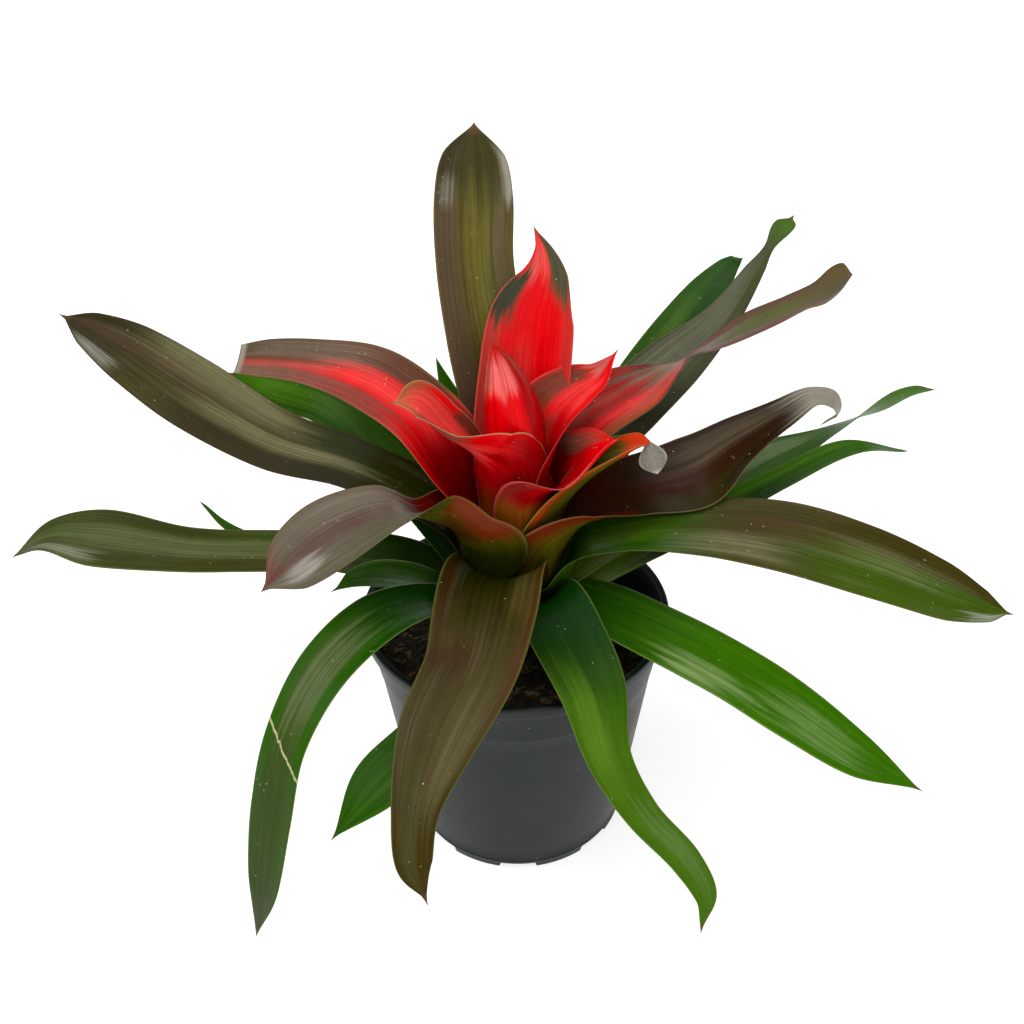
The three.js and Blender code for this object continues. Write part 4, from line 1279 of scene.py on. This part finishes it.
        (155, 193, 0, 2, 0, 40),
    ), green_leaf(24.0)),
    Leaf("leaf_left_front_green", Slot.GREEN, 206, (
        (8, 122, 0, 24, 0, 150), (28, 144, 0, 34, 0, 80), (50, 166, 0, 32, 0, 50),
        (70, 178, 0, 25, 0, 30), (84, 181, 0, 14, 0, 30), (92, 179, 0, 2, 0, 30),
    ), green_leaf(25.0)),
    Leaf("leaf_back_hidden_tip", Slot.GREEN, 120, (
        (8, 121, 0, 24, 0, 150), (27, 146, 0, 32, 0, 80), (45, 185, 0, 30, 0, 50),
        (60, 222, 0, 16, 0, 40), (76, 243, 0, 2, 0, 40),
    ), green_leaf(26.0)),
    Leaf("leaf_right_dark_green", Slot.GREEN, 12, (
        (8, 120, 0, 24, 0, 150), (31, 142, 0, 34, 0, 70), (62, 158, 0, 32, 0, 40),
        (98, 172, 0, 29, -5, 25), (140, 191, 0, 24, -8, 20), (178, 205, 0, 17, -5, 20),
        (209, 199, 0, 2, 0, 20),
    ), green_leaf(27.0, (
        # painted light, pale green, on the foot of the leaf, which lies in shade
        Patch((150, 184, 60), (0.08, 0.36), strength=0.8),
        Patch(DEEP_GREEN, (0.3, 0.7), (-1.5, 0.0), strength=0.6, face=Face.UPPER),
        Patch((74, 118, 24), (0.5, 0.9), (0.1, 1.5), 0.08, 0.12, 0.6, lined=0.5),
    ))),
    Leaf("leaf_front_short_green", Slot.GREEN, 258, (
        (8, 119, 0, 22, 0, 150), (31, 137, 0, 28, 0, 60), (60, 148, 0, 26, 0, 40),
        (85, 149, -6, 24, 0, 20), (107, 141, -20, 25, 0, 10), (127, 131, -36, 23, 0, 10),
        (143, 117, -49, 2, 0, 10),
    ), green_leaf(28.0)),
)


@dataclass(frozen=True)
class DriedCurl:
    """The papery dried end of a heart leaf, which hangs from its tip as a small spoon."""

    top: Point = (62.0, -11.5, 237.2)
    hang: Point = (0.3, -0.42, -0.86)
    length: float = 15
    half_width: float = 6.4
    cup: float = 0.4
    hook: float = 2.6
    thickness: float = 0.35
    rows: int = 30
    columns: int = 20
    paper: RGB = (124, 112, 100)
    rim: RGB = (214, 206, 192)

    def _point(self, down: float, side: float) -> Vector:
        """A point of the sheet.

        Args:
            down: The share of the way from the leaf's tip to the spoon's end.
            side: The place across, from -1 to 1.

        Returns:
            The point in millimetres.
        """
        hang = Vector(self.hang).normalized()
        right = Vector((1, 0, 0)) - hang * hang.x
        right.normalize()
        front = right.cross(hang)
        half = self.half_width * math.sin(math.pi * (0.12 + 0.88 * down) ** 1.3) + 0.2
        lift = self.cup * half * side * side + self.hook * down**3
        return Vector(self.top) + hang * self.length * down + right * half * side + front * lift

    def material(self) -> bpy.types.Material:
        """Builds the dried leaf's finish, paler at its rim.

        Returns:
            The material.
        """
        material, graph, shader = new_material("dried_leaf")
        spot = graph.spot()
        fibres = graph.noise(spot, 1400.0, 3.0, 0.6)
        rim = graph.attribute("rim")
        shade = graph.mix(fibres.smooth(0.35, 0.65) * 0.5, colour(*self.paper), colour(*ASH))
        shade = graph.mix(rim.smooth(0.82, 0.97) * 0.9, shade, colour(*self.rim))
        graph.finish(shader, shade, 0.35 + fibres * 0.3, (fibres, 0.4, 0.0002))
        return material

    def build(self) -> bpy.types.Object:
        """Builds and dresses the curl.

        Returns:
            The finished curl.
        """
        points, rims = [], []
        for i in range(self.rows + 1):
            for j in range(self.columns + 1):
                down, side = i / self.rows, 2 * j / self.columns - 1
                points.append(self._point(down, side) * MM)
                rims.append(max(abs(side), down))
        wide = self.columns + 1
        faces = [
            (i * wide + j, i * wide + j + 1, (i + 1) * wide + j + 1, (i + 1) * wide + j)
            for i in range(self.rows) for j in range(self.columns)
        ]
        sheet = mesh_of("dried_curl", points, faces)
        sheet.attributes.new("rim", "FLOAT", "POINT").data.foreach_set("value", rims)
        curl = link("dried_curl", sheet)
        wall = curl.modifiers.new("wall", "SOLIDIFY")
        wall.thickness = self.thickness * MM
        wall.offset = 0.0
        curl.data.materials.append(self.material())
        return seat(curl, Slot.GREEN)


# ------------------------------------------------------------------------------ pot


@dataclass(frozen=True)
class PlasticFinish:
    """Matte moulded plastic with dust, faint flow lines and lighter worn patches."""

    body: RGB = (8, 24, 22)
    worn: RGB = (26, 40, 38)
    dust: RGB = (150, 148, 140)
    grit: RGB = (176, 170, 155)
    rough: float = 0.4
    gloss: float = 0.22

    def material(self) -> bpy.types.Material:
        """Builds the plastic.

        Returns:
            The material.
        """
        material, graph, shader = new_material("pot_plastic")
        spot = graph.spot()
        parts = graph.node("ShaderNodeSeparateXYZ", None, {"Vector": spot})
        height = Value(graph, parts.outputs["Z"])
        cloud = graph.noise(spot, 34.0, 4.0, 0.6)
        fine = graph.noise(spot, 2600.0, 2.0, 0.6)
        flow = graph.noise(graph.vector(height * 90, cloud * 0.6, 0.0), 3.0, 2.0, 0.5)
        scuffs = graph.noise(graph.vector(parts.outputs["X"], parts.outputs["Y"], height * 9), 190.0, 2.0)
        shade = graph.mix(cloud.smooth(0.35, 0.7) * 0.28, colour(*self.body), colour(*self.worn))
        film = graph.noise(spot, 16.0, 3.0, 0.6).smooth(0.5, 0.72) * 0.04
        marks = scuffs.smooth(0.68, 0.76) * 0.16
        shade = graph.mix(film + marks * 0.5, shade, colour(*self.dust))
        grit = graph.dots(spot, 210.0).smooth(0.10, 0.05) * cloud.smooth(0.52, 0.6) * 0.55
        shade = graph.mix(grit, shade, colour(*self.grit))
        rough = self.rough + (cloud - 0.5) * 0.16 + film * 0.9 + flow * 0.05
        graph.finish(shader, shade, rough, (fine * 0.6 + flow * 0.4, 0.25, 0.0002))
        shader.inputs["Specular IOR Level"].default_value = self.gloss
        return material


@dataclass(frozen=True)
class Pot:
    """The nursery pot: a thin tapered wall with a lip, a seam ring and a notched foot."""

    rim_radius: float = 80
    height: float = 137.2
    base_radius: float = 59.8
    wall: float = 1.6
    floor: float = 2.2
    lip_height: float = 6.6
    lip_inset: float = 3.6
    lip_top_width: float = 3.4
    bevel_depth: float = 5
    seam_height: float = 110.4
    seam_radius: float = 73.3
    seam_step: float = 0.5
    foot_ring_height: float = 5.6
    notch_count: int = 8
    notch_width: float = 19
    notch_height: float = 3
    notch_reach: float = 13
    notch_turn: float = -91
    notch_steps: int = 8
    drain_hole_radius: float = 3.4
    drain_hole_sides: int = 28
    columns_between: int = 34
    finish: PlasticFinish = field(default_factory=PlasticFinish)

    def wall_radius(self, height: float) -> float:
        """The outer radius of the wall.

        Args:
            height: The height in millimetres.

        Returns:
            The radius in millimetres.
        """
        if height <= self.seam_height:
            slope = (self.seam_radius - self.base_radius) / self.seam_height
            return self.base_radius + slope * height
        lip_foot = self.height - self.lip_height
        share = (height - self.seam_height) / (lip_foot - self.seam_height)
        top = self.rim_radius - self.lip_inset
        return self.seam_radius + (top - self.seam_radius) * share

    def profile(self) -> list[tuple[float, float, float]]:
        """The pot's section, from the middle of the underside out, up and back down inside.

        Returns:
            Points of (radius, height, lift), where lift is how much of a notch's height the
            point rises by under a notch.
        """
        lip_foot = self.height - self.lip_height
        reach = self.base_radius - self.notch_reach
        rim_inner = self.rim_radius - self.lip_top_width
        ring = self.foot_ring_height
        outside = [
            (0, 0, 0), (reach * 0.5, 0, 0), (reach - 0.5, 0, 0), (reach + 0.3, 0, 1),
            (self.base_radius - 4, 0, 1), (self.base_radius - 0.9, 0, 1),
            (self.base_radius - 0.3, 0.15, 1), (self.wall_radius(0.6), 0.6, 0.85),
            (self.wall_radius(2.2), 2.2, 0.45), (self.wall_radius(ring - 1.0), ring - 1.0, 0),
            (self.wall_radius(ring) + 0.15, ring - 0.4, 0), (self.wall_radius(ring) + 0.45, ring, 0),
            (self.wall_radius(ring) + 0.2, ring + 0.4, 0), (self.wall_radius(ring + 1.0), ring + 1.0, 0),
        ]
        for i in range(1, 12):
            height = ring + 1.2 + (self.seam_height - ring - 1.6) * i / 12
            outside.append((self.wall_radius(height), height, 0))
        seam = self.seam_height
        outside += [
            (self.wall_radius(seam - 0.4), seam - 0.4, 0), (self.seam_radius + 0.1, seam, 0),
            (self.seam_radius + self.seam_step, seam + 0.3, 0),
            (self.seam_radius + self.seam_step + 0.1, seam + 0.9, 0),
            (self.wall_radius(seam + 4) + 0.3, seam + 4, 0),
            (self.wall_radius(lip_foot - 4), lip_foot - 4, 0),
            (self.wall_radius(lip_foot - 0.8), lip_foot - 0.8, 0),
            (self.wall_radius(lip_foot) + 0.2, lip_foot - 0.15, 0),
            (self.rim_radius - 1.4, lip_foot, 0), (self.rim_radius - 0.9, lip_foot + 0.25, 0),
            (self.rim_radius - 0.75, lip_foot + 0.7, 0), (self.rim_radius - 0.45, self.height - 1.6, 0),
            (self.rim_radius - 0.5, self.height - 0.8, 0), (self.rim_radius - 0.8, self.height - 0.25, 0),
            (self.rim_radius - 1.4, self.height, 0),
        ]
        inside = [
            (rim_inner + 0.4, self.height, 0), (rim_inner - 0.1, self.height - 0.25, 0),
            (rim_inner - 0.6, self.height - 1.2, 0),
            (rim_inner - 2.2, self.height - self.bevel_depth, 0),
            (self.wall_radius(seam) - self.wall, seam, 0),
            (self.wall_radius(60) - self.wall, 60, 0),
            (self.wall_radius(8) - self.wall, 8, 0),
            (self.wall_radius(self.floor + 2) - self.wall, self.floor + 2, 0.6),
            (self.wall_radius(self.floor) - self.wall - 1.6, self.floor, 1),
            (reach - self.wall + 0.3, self.floor, 1), (reach - self.wall - 0.5, self.floor, 0),
            (reach * 0.5, self.floor, 0), (0, self.floor, 0),
        ]
        return outside + inside

    def _columns(self) -> list[tuple[float, float]]:
        """The pot's columns of points.

        Returns:
            Each column as (turn, share of a notch's height).
        """
        columns = []
        pitch = math.tau / self.notch_count
        half = self.notch_width / 2 / (self.base_radius - 2)
        soft = 0.45 / self.base_radius
        for i in range(self.notch_count):
            centre = math.radians(self.notch_turn) + pitch * i
            for k in range(self.notch_steps + 1):
                columns.append((centre + (half - soft) * (2 * k / self.notch_steps - 1), 1.0))
            columns += [(centre + half, 0.5), (centre + half + soft, 0.0)]
            start, end = centre + half + soft, centre + pitch - half - soft
            for k in range(1, self.columns_between):
                columns.append((start + (end - start) * k / self.columns_between, 0.0))
            columns += [(end, 0.0), (end + soft, 0.5)]
        return columns

    def build(self) -> bpy.types.Object:
        """Builds and dresses the pot.

        Returns:
            The finished pot.
        """
        profile, columns = self.profile(), self._columns()
        points = []
        for radius, height, lift in profile:
            for turn, notch in columns:
                points.append(polar(radius, turn, height + self.notch_height * lift * notch))
        faces = ring_faces(0, len(profile) - 1, len(columns))
        pot = link("nursery_pot", mesh_of("nursery_pot", points, faces, merge=TOUCHING))
        self._drill(pot)
        pot.data.materials.append(self.finish.material())
        return seat(pot, Slot.POT, "pot")

    def _drill(self, pot: bpy.types.Object) -> None:
        """Cuts the drain holes through the roofs of the notches.

        Args:
            pot: The pot.
        """
        cutter = bmesh.new()
        reach = self.base_radius - self.notch_reach / 2 - 1
        radius = self.drain_hole_radius * MM
        for i in range(self.notch_count):
            turn = math.radians(self.notch_turn) + math.tau / self.notch_count * i
            bmesh.ops.create_cone(
                cutter, cap_ends=True, segments=self.drain_hole_sides,
                radius1=radius, radius2=radius, depth=4 * self.notch_height * MM,
                matrix=Matrix.Translation(polar(reach, turn, self.notch_height)),
            )
        mesh = bpy.data.meshes.new("drain_cutter")
        cutter.to_mesh(mesh)
        cutter.free()
        tool = link("drain_cutter", mesh)
        modifier = pot.modifiers.new("drain", "BOOLEAN")
        modifier.operation = "DIFFERENCE"
        modifier.solver = "EXACT"
        modifier.object = tool
        bpy.context.view_layer.update()
        graph = bpy.context.evaluated_depsgraph_get()
        cut = bpy.data.meshes.new_from_object(pot.evaluated_get(graph), depsgraph=graph)
        pot.modifiers.remove(modifier)
        pot.data = cut
        bpy.data.objects.remove(tool)


# ------------------------------------------------------------------------------ potting mix


@dataclass(frozen=True)
class PeatFinish:
    """Moist black peat with brown crumbs."""

    peat: RGB = (40, 34, 20)
    crumb: RGB = (104, 82, 50)
    # painted shade in the hollows between the lumps
    hollow_shade: RGB = (9, 7, 5)
    rough: float = 0.75

    def material(self) -> bpy.types.Material:
        """Builds the peat.

        Returns:
            The material.
        """
        material, graph, shader = new_material("peat")
        spot = graph.spot()
        lumps = graph.noise(spot, 240.0, 5.0, 0.7)
        grains = graph.noise(spot, 900.0, 3.0, 0.7)
        shade = graph.mix(grains.smooth(0.5, 0.72) * 0.8, colour(*self.peat), colour(*self.crumb))
        # darkens the hollows of the bump with painted shade
        shade = graph.mix(lumps.smooth(0.55, 0.35) * 0.8, shade, colour(*self.hollow_shade))
        rough = self.rough + (grains - 0.5) * 0.4
        graph.finish(shader, shade, rough, (lumps * 0.6 + grains * 0.4, 0.9, 0.0012))
        return material


@dataclass(frozen=True)
class CrumbFinish:
    """Loose bits in the potting mix: bark, fibre or white grains."""

    name: str
    dark: RGB
    light: RGB
    scale: float = 300.0
    rough: float = 0.85

    def material(self) -> bpy.types.Material:
        """Builds the finish of the bits.

        Returns:
            The material.
        """
        material, graph, shader = new_material(self.name)
        spot = graph.spot()
        broad = graph.noise(spot, self.scale * 0.35, 2.0, 0.5)
        grain = graph.noise(spot, self.scale * 3, 3.0, 0.7)
        share = broad.smooth(0.38, 0.66) * 0.75 + grain.smooth(0.4, 0.7) * 0.25
        shade = graph.mix(share, colour(*self.dark), colour(*self.light))
        graph.finish(shader, shade, self.rough + (grain - 0.5) * 0.2, (grain, 0.6, 0.0004))
        return material


BIT_INPUTS = (
    ("Density", "Float"),
    ("Smallest", "Float"),
    ("Largest", "Float"),
    ("Length", "Float"),
    ("Flatness", "Float"),
    ("Tilt", "Float"),
    ("Seed", "Int"),
    ("Material", "Material"),
)


def bit_tree() -> bpy.types.NodeTree:
    """The tree that scatters lumpy bits over the potting mix.

    Returns:
        The tree. Its geometry input is the surface that the bits lie on.
    """
    tree, graph, given = new_tree("loose bits", BIT_INPUTS)
    field_of = {key: Value(graph, given.outputs[key]) for key, _ in BIT_INPUTS}
    seed = field_of["Seed"]
    spread = {"Mesh": given.outputs["Geometry"], "Density": field_of["Density"], "Seed": seed}
    node = graph.node("GeometryNodeDistributePointsOnFaces", {"distribute_method": "RANDOM"}, spread)
    lump = graph.out("GeometryNodeMeshIcoSphere", "Mesh", None, {"Radius": 0.5, "Subdivisions": 2})
    place = graph.out("GeometryNodeInputPosition", 0)
    rough = graph.out("ShaderNodeTexNoise", "Color", None, {"Vector": place, "Scale": 2.4, "Detail": 1.0})
    push = graph.vector_math("SUBTRACT", rough, (0.5, 0.5, 0.5))
    push = graph.vector_math("SCALE", push, 0.75)
    lump = graph.out("GeometryNodeSetPosition", 0, None, {"Geometry": lump, "Offset": push})
    shape = graph.vector(field_of["Length"], 1.0, field_of["Flatness"])
    lump = graph.out("GeometryNodeTransform", 0, None, {"Geometry": lump, "Scale": shape})
    tilt = field_of["Tilt"]
    low = graph.vector(0 - tilt, 0 - tilt, 0.0)
    high = graph.vector(tilt, tilt, math.tau)
    turn = graph.out(
        "FunctionNodeRandomValue", 0, {"data_type": "FLOAT_VECTOR"}, {0: low, 1: high, "Seed": seed + 1}
    )
    size = graph.node("FunctionNodeRandomValue", {"data_type": "FLOAT"}, {"Seed": seed + 2})
    graph.tree.links.new(field_of["Smallest"].socket, size.inputs[2])
    graph.tree.links.new(field_of["Largest"].socket, size.inputs[3])
    many = {"Points": node.outputs["Points"], "Instance": lump, "Rotation": turn, "Scale": size.outputs[1]}
    bits = graph.out("GeometryNodeInstanceOnPoints", 0, None, many)
    end_tree(graph, bits, field_of["Material"])
    return tree


@dataclass(frozen=True)
class Bits:
    """One kind of loose bits in the potting mix: so many to a square metre, from smallest to largest.

    length and flatness are the stretch along and up, and tilt is how far a bit leans, in radians.
    """

    name: str
    finish: CrumbFinish
    density: float
    smallest: float
    largest: float
    length: float
    flatness: float
    tilt: float
    seed: int


@dataclass(frozen=True)
class PottingMix:
    """The peat in the pot, with bark, fibres and white grains on it."""

    level: float = 116
    foot: float = 4.9
    rim_gap: float = 0.9
    foot_gap: float = 1.0
    rough: float = 1.5
    rings: int = 46
    ring_spacing: float = 0.85
    columns: int = 150
    pot: Pot = field(default_factory=Pot)
    finish: PeatFinish = field(default_factory=PeatFinish)
    bits: tuple[Bits, ...] = (
        Bits(
            "bark_chips", CrumbFinish("bark", (60, 44, 26), (160, 122, 74)),
            density=26000, smallest=2.0, largest=5.4,
            length=1.6, flatness=0.45, tilt=0.5, seed=11,
        ),
        Bits(
            "peat_crumbs", CrumbFinish("peat_crumb", (24, 20, 12), (92, 74, 48)),
            density=90000, smallest=1.0, largest=2.8,
            length=1.2, flatness=0.8, tilt=1.2, seed=12,
        ),
        Bits(
            "wood_fibres", CrumbFinish("fibre", (120, 96, 58), (206, 178, 124)),
            density=9000, smallest=0.5, largest=0.9,
            length=9.0, flatness=0.7, tilt=0.25, seed=13,
        ),
        Bits(
            "perlite_grains", CrumbFinish("perlite", (196, 192, 180), (238, 236, 228)),
            density=900, smallest=1.2, largest=2.6,
            length=1.1, flatness=0.8, tilt=1.5, seed=14,
        ),
    )

    def _surface(self, radius: float, turn: float) -> float:
        """The height of the mix's surface.

        Args:
            radius: The distance from the pot's axis in millimetres.
            turn: The turn about it.

        Returns:
            The height in millimetres.
        """
        x, y = radius * math.cos(turn), radius * math.sin(turn)
        broad = noise.noise(Vector((x * 0.035, y * 0.035, 3.0)))
        lumps = noise.fractal(Vector((x * 0.16, y * 0.16, 8.0)), 1.0, 2.1, 4)
        return self.level + self.rough * (0.7 * broad + 0.75 * lumps)

    def build(self) -> list[bpy.types.Object]:
        """Builds and dresses the mix and the bits on it.

        Returns:
            The finished pieces.
        """
        rim = self.pot.wall_radius(self.level) - self.pot.wall - self.rim_gap
        bottom = self.pot.wall_radius(self.foot) - self.pot.wall - self.foot_gap
        turns = [math.tau * j / self.columns for j in range(self.columns)]
        points = []
        for i in range(self.rings + 1):
            radius = rim * (i / self.rings) ** self.ring_spacing
            points += [polar(radius, turn, self._surface(radius, turn)) for turn in turns]
        top_count = len(points)
        below = ((rim + 0.2, self.level - 4), (bottom, self.foot), (0.0, self.foot))
        for radius, height in below:
            points += [polar(radius, turn, height) for turn in turns]
        faces = ring_faces(0, self.rings + len(below), self.columns)
        body = link("peat", mesh_of("peat", points, faces, merge=TOUCHING))
        body.data.materials.append(self.finish.material())
        made = [seat(body, Slot.PEAT, "potting_mix")]
        tree = bit_tree()
        for kind in self.bits:
            surface = ring_faces(0, self.rings, self.columns)
            top = mesh_of("top", points[:top_count], surface, merge=TOUCHING)
            values = {
                "Density": float(kind.density),
                "Smallest": kind.smallest * MM,
                "Largest": kind.largest * MM,
                "Length": kind.length,
                "Flatness": kind.flatness,
                "Tilt": kind.tilt,
                "Seed": kind.seed,
                "Material": kind.finish.material(),
            }
            made.append(seat(run_tree(kind.name, top, tree, values), Slot.PEAT))
        return made


# ------------------------------------------------------------------------------ stem


@dataclass(frozen=True)
class Stem:
    """The short stem, ringed by the scars of old leaves. Its outline is (height, radius)."""

    outline: tuple[tuple[float, float], ...] = (
        (98, 6.0), (102, 8.0), (118, 8.0), (122, 7.2), (150, 6.8), (158, 5.0), (165, 2.6),
    )
    scar_pitch: float = 5.5
    scar_depth: float = 0.25
    crown: float = 0.6
    rings: int = 66
    columns: int = 64
    bark: RGB = (104, 110, 58)
    pale: RGB = (146, 140, 86)

    def material(self) -> bpy.types.Material:
        """Builds the stem's finish.

        Returns:
            The material.
        """
        material, graph, shader = new_material("stem_green")
        cells = graph.noise(graph.spot(), 260.0, 4.0, 0.6)
        shade = graph.mix(cells.smooth(0.35, 0.65), colour(*self.bark), colour(*self.pale))
        graph.finish(shader, shade, 0.55 + cells * 0.3)
        return material

    def build(self) -> bpy.types.Object:
        """Builds and dresses the stem.

        Returns:
            The finished stem.
        """
        foot, top, wide = self.outline[0][0], self.outline[-1][0], self.columns
        points: list[Point] = []
        for i in range(self.rings + 1):
            height = foot + (top - foot) * i / self.rings
            for (low, r0), (high, r1) in zip(self.outline, self.outline[1:]):
                if low <= height <= high:
                    radius = r0 + (r1 - r0) * (height - low) / (high - low)
            radius -= self.scar_depth * (1 + math.sin(height * math.tau / self.scar_pitch))
            points += [polar(radius, math.tau * j / wide, height) for j in range(wide)]
        faces: list[tuple[int, ...]] = list(ring_faces(0, self.rings, wide))
        for ring, height in ((0, foot), (self.rings, top + self.crown)):
            points.append((0.0, 0.0, height * MM))
            hub = len(points) - 1
            faces += [(ring * wide + j, ring * wide + (j + 1) % wide, hub) for j in range(wide)]
        stem = link("stem_core", mesh_of("stem_core", points, faces))
        stem.data.materials.append(self.material())
        return seat(stem, Slot.STEM, "stem")


# ------------------------------------------------------------------------------ studio


@dataclass(frozen=True)
class Softbox:
    """One soft area light."""

    name: str
    place: Point
    aim: Point
    size: tuple[float, float]
    watts: float


@dataclass(frozen=True)
class Studio:
    """The pale floor, the soft lights and the camera."""

    camera_place: Point = (-0.001, -0.409, 0.461)
    pitch: float = 33.2
    roll: float = -1.0
    lens: float = 35
    sensor: float = 36
    floor_size: float = 30
    world: float = 1.0
    zenith: float = 0.05
    horizon: tuple[float, float] = (0.12, 0.36)
    floor_shade: float = 0.6
    floor_rough: float = 0.9
    floor_glow: float = 0.72
    glow_reach: tuple[float, float] = (0.45, 1.3)
    lights: tuple[Softbox, ...] = (
        Softbox("top_light", (-0.2, -0.5, 1.9), (0, 0, 0.15), (2.4, 2.2), 44),
        Softbox("front_light", (0.2, -1.9, 0.8), (0, 0, 0.2), (1.6, 1.2), 6),
        Softbox("back_light", (0.2, 1.0, 1.5), (0, 0, 0.15), (0.9, 0.7), 4),
        Softbox("left_light", (-1.4, 0.1, 1.1), (0, 0, 0.15), (0.6, 1.0), 4),
    )

    def clear(self) -> None:
        """Removes what the empty file came with."""
        kept = set(frame["nodes"].values()) | set(frame["bodies"].values())
        for item in list(bpy.data.objects):
            if item not in kept:
                bpy.data.objects.remove(item)

    def build(self) -> None:
        """Builds the floor, the lights and the camera."""
        self._floor()
        for box in self.lights:
            lamp = bpy.data.lights.new(box.name, "AREA")
            lamp.shape = "RECTANGLE"
            lamp.size, lamp.size_y = box.size
            lamp.energy = box.watts
            item = bpy.data.objects.new(box.name, lamp)
            bpy.context.scene.collection.objects.link(item)
            item.location = box.place
            aim = Vector(box.aim) - Vector(box.place)
            item.rotation_euler = aim.to_track_quat("-Z", "Y").to_euler()
        world = bpy.data.worlds.new("studio_world")
        world.use_nodes = True
        graph = Graph(world.node_tree)
        around = graph.out("ShaderNodeTexCoord", "Generated")
        parts = graph.node("ShaderNodeSeparateXYZ", None, {0: around})
        height = Value(graph, parts.outputs["Z"]).smooth(*self.horizon)
        sky = graph.mix(height, (1, 1, 1, 1), (self.zenith, self.zenith, self.zenith, 1))
        background = world.node_tree.nodes["Background"]
        graph.tree.links.new(sky.socket, background.inputs["Color"])
        background.inputs["Strength"].default_value = self.world
        scene = bpy.context.scene
        scene.world = world
        scene.view_settings.view_transform = "Standard"
        self._camera()

    def _floor(self) -> None:
        """Lays the pale floor."""
        half = self.floor_size / 2
        corners = [(-half, -half, 0), (half, -half, 0), (half, half, 0), (-half, half, 0)]
        floor = link("studio_floor", mesh_of("studio_floor", corners, [(0, 1, 2, 3)]))
        material, graph, shader = new_material("studio_floor")
        spot = graph.spot()
        away = graph.out("ShaderNodeVectorMath", "Value", {"operation": "LENGTH"}, {0: spot})
        near, far = ((glow, glow, glow, 1) for glow in (self.floor_glow, 1.0))
        glow = graph.mix(away.smooth(*self.glow_reach), near, far)
        graph.tree.links.new(glow.socket, shader.inputs["Emission Color"])
        shader.inputs["Base Color"].default_value = (self.floor_shade,) * 3 + (1,)
        shader.inputs["Emission Strength"].default_value = 1.0
        shader.inputs["Roughness"].default_value = self.floor_rough
        shader.inputs["Specular IOR Level"].default_value = 0.1
        floor.data.materials.append(material)

    def _camera(self) -> None:
        """Sets up the camera at the photograph's viewing angle."""
        pitch, roll = math.radians(self.pitch), math.radians(self.roll)
        forward = Vector((0, math.cos(pitch), -math.sin(pitch)))
        right = Vector((1, 0, 0))
        up = right.cross(forward)
        across = right * math.cos(roll) + up * math.sin(roll)
        upwards = up * math.cos(roll) - right * math.sin(roll)
        data = bpy.data.cameras.new("camera")
        data.lens, data.sensor_width = self.lens, self.sensor
        data.clip_start, data.clip_end = 0.01, 100
        camera = bpy.data.objects.new("camera", data)
        bpy.context.scene.collection.objects.link(camera)
        turn = Matrix((across, upwards, -forward)).transposed().to_4x4()
        camera.matrix_world = Matrix.Translation(self.camera_place) @ turn
        bpy.context.scene.camera = camera


# ------------------------------------------------------------------------------ the object


def main() -> None:
    """Builds the studio and every piece of the plant."""
    logging.basicConfig(level=logging.INFO, format="%(message)s")
    studio = Studio()
    studio.clear()
    studio.build()
    pot = Pot()
    pot.build()
    PottingMix(pot=pot).build()
    Stem().build()
    tree = leaf_tree()
    for leaf in LEAVES:
        leaf.build(tree)
    DriedCurl().build()


if __name__ == "__main__":
    main()
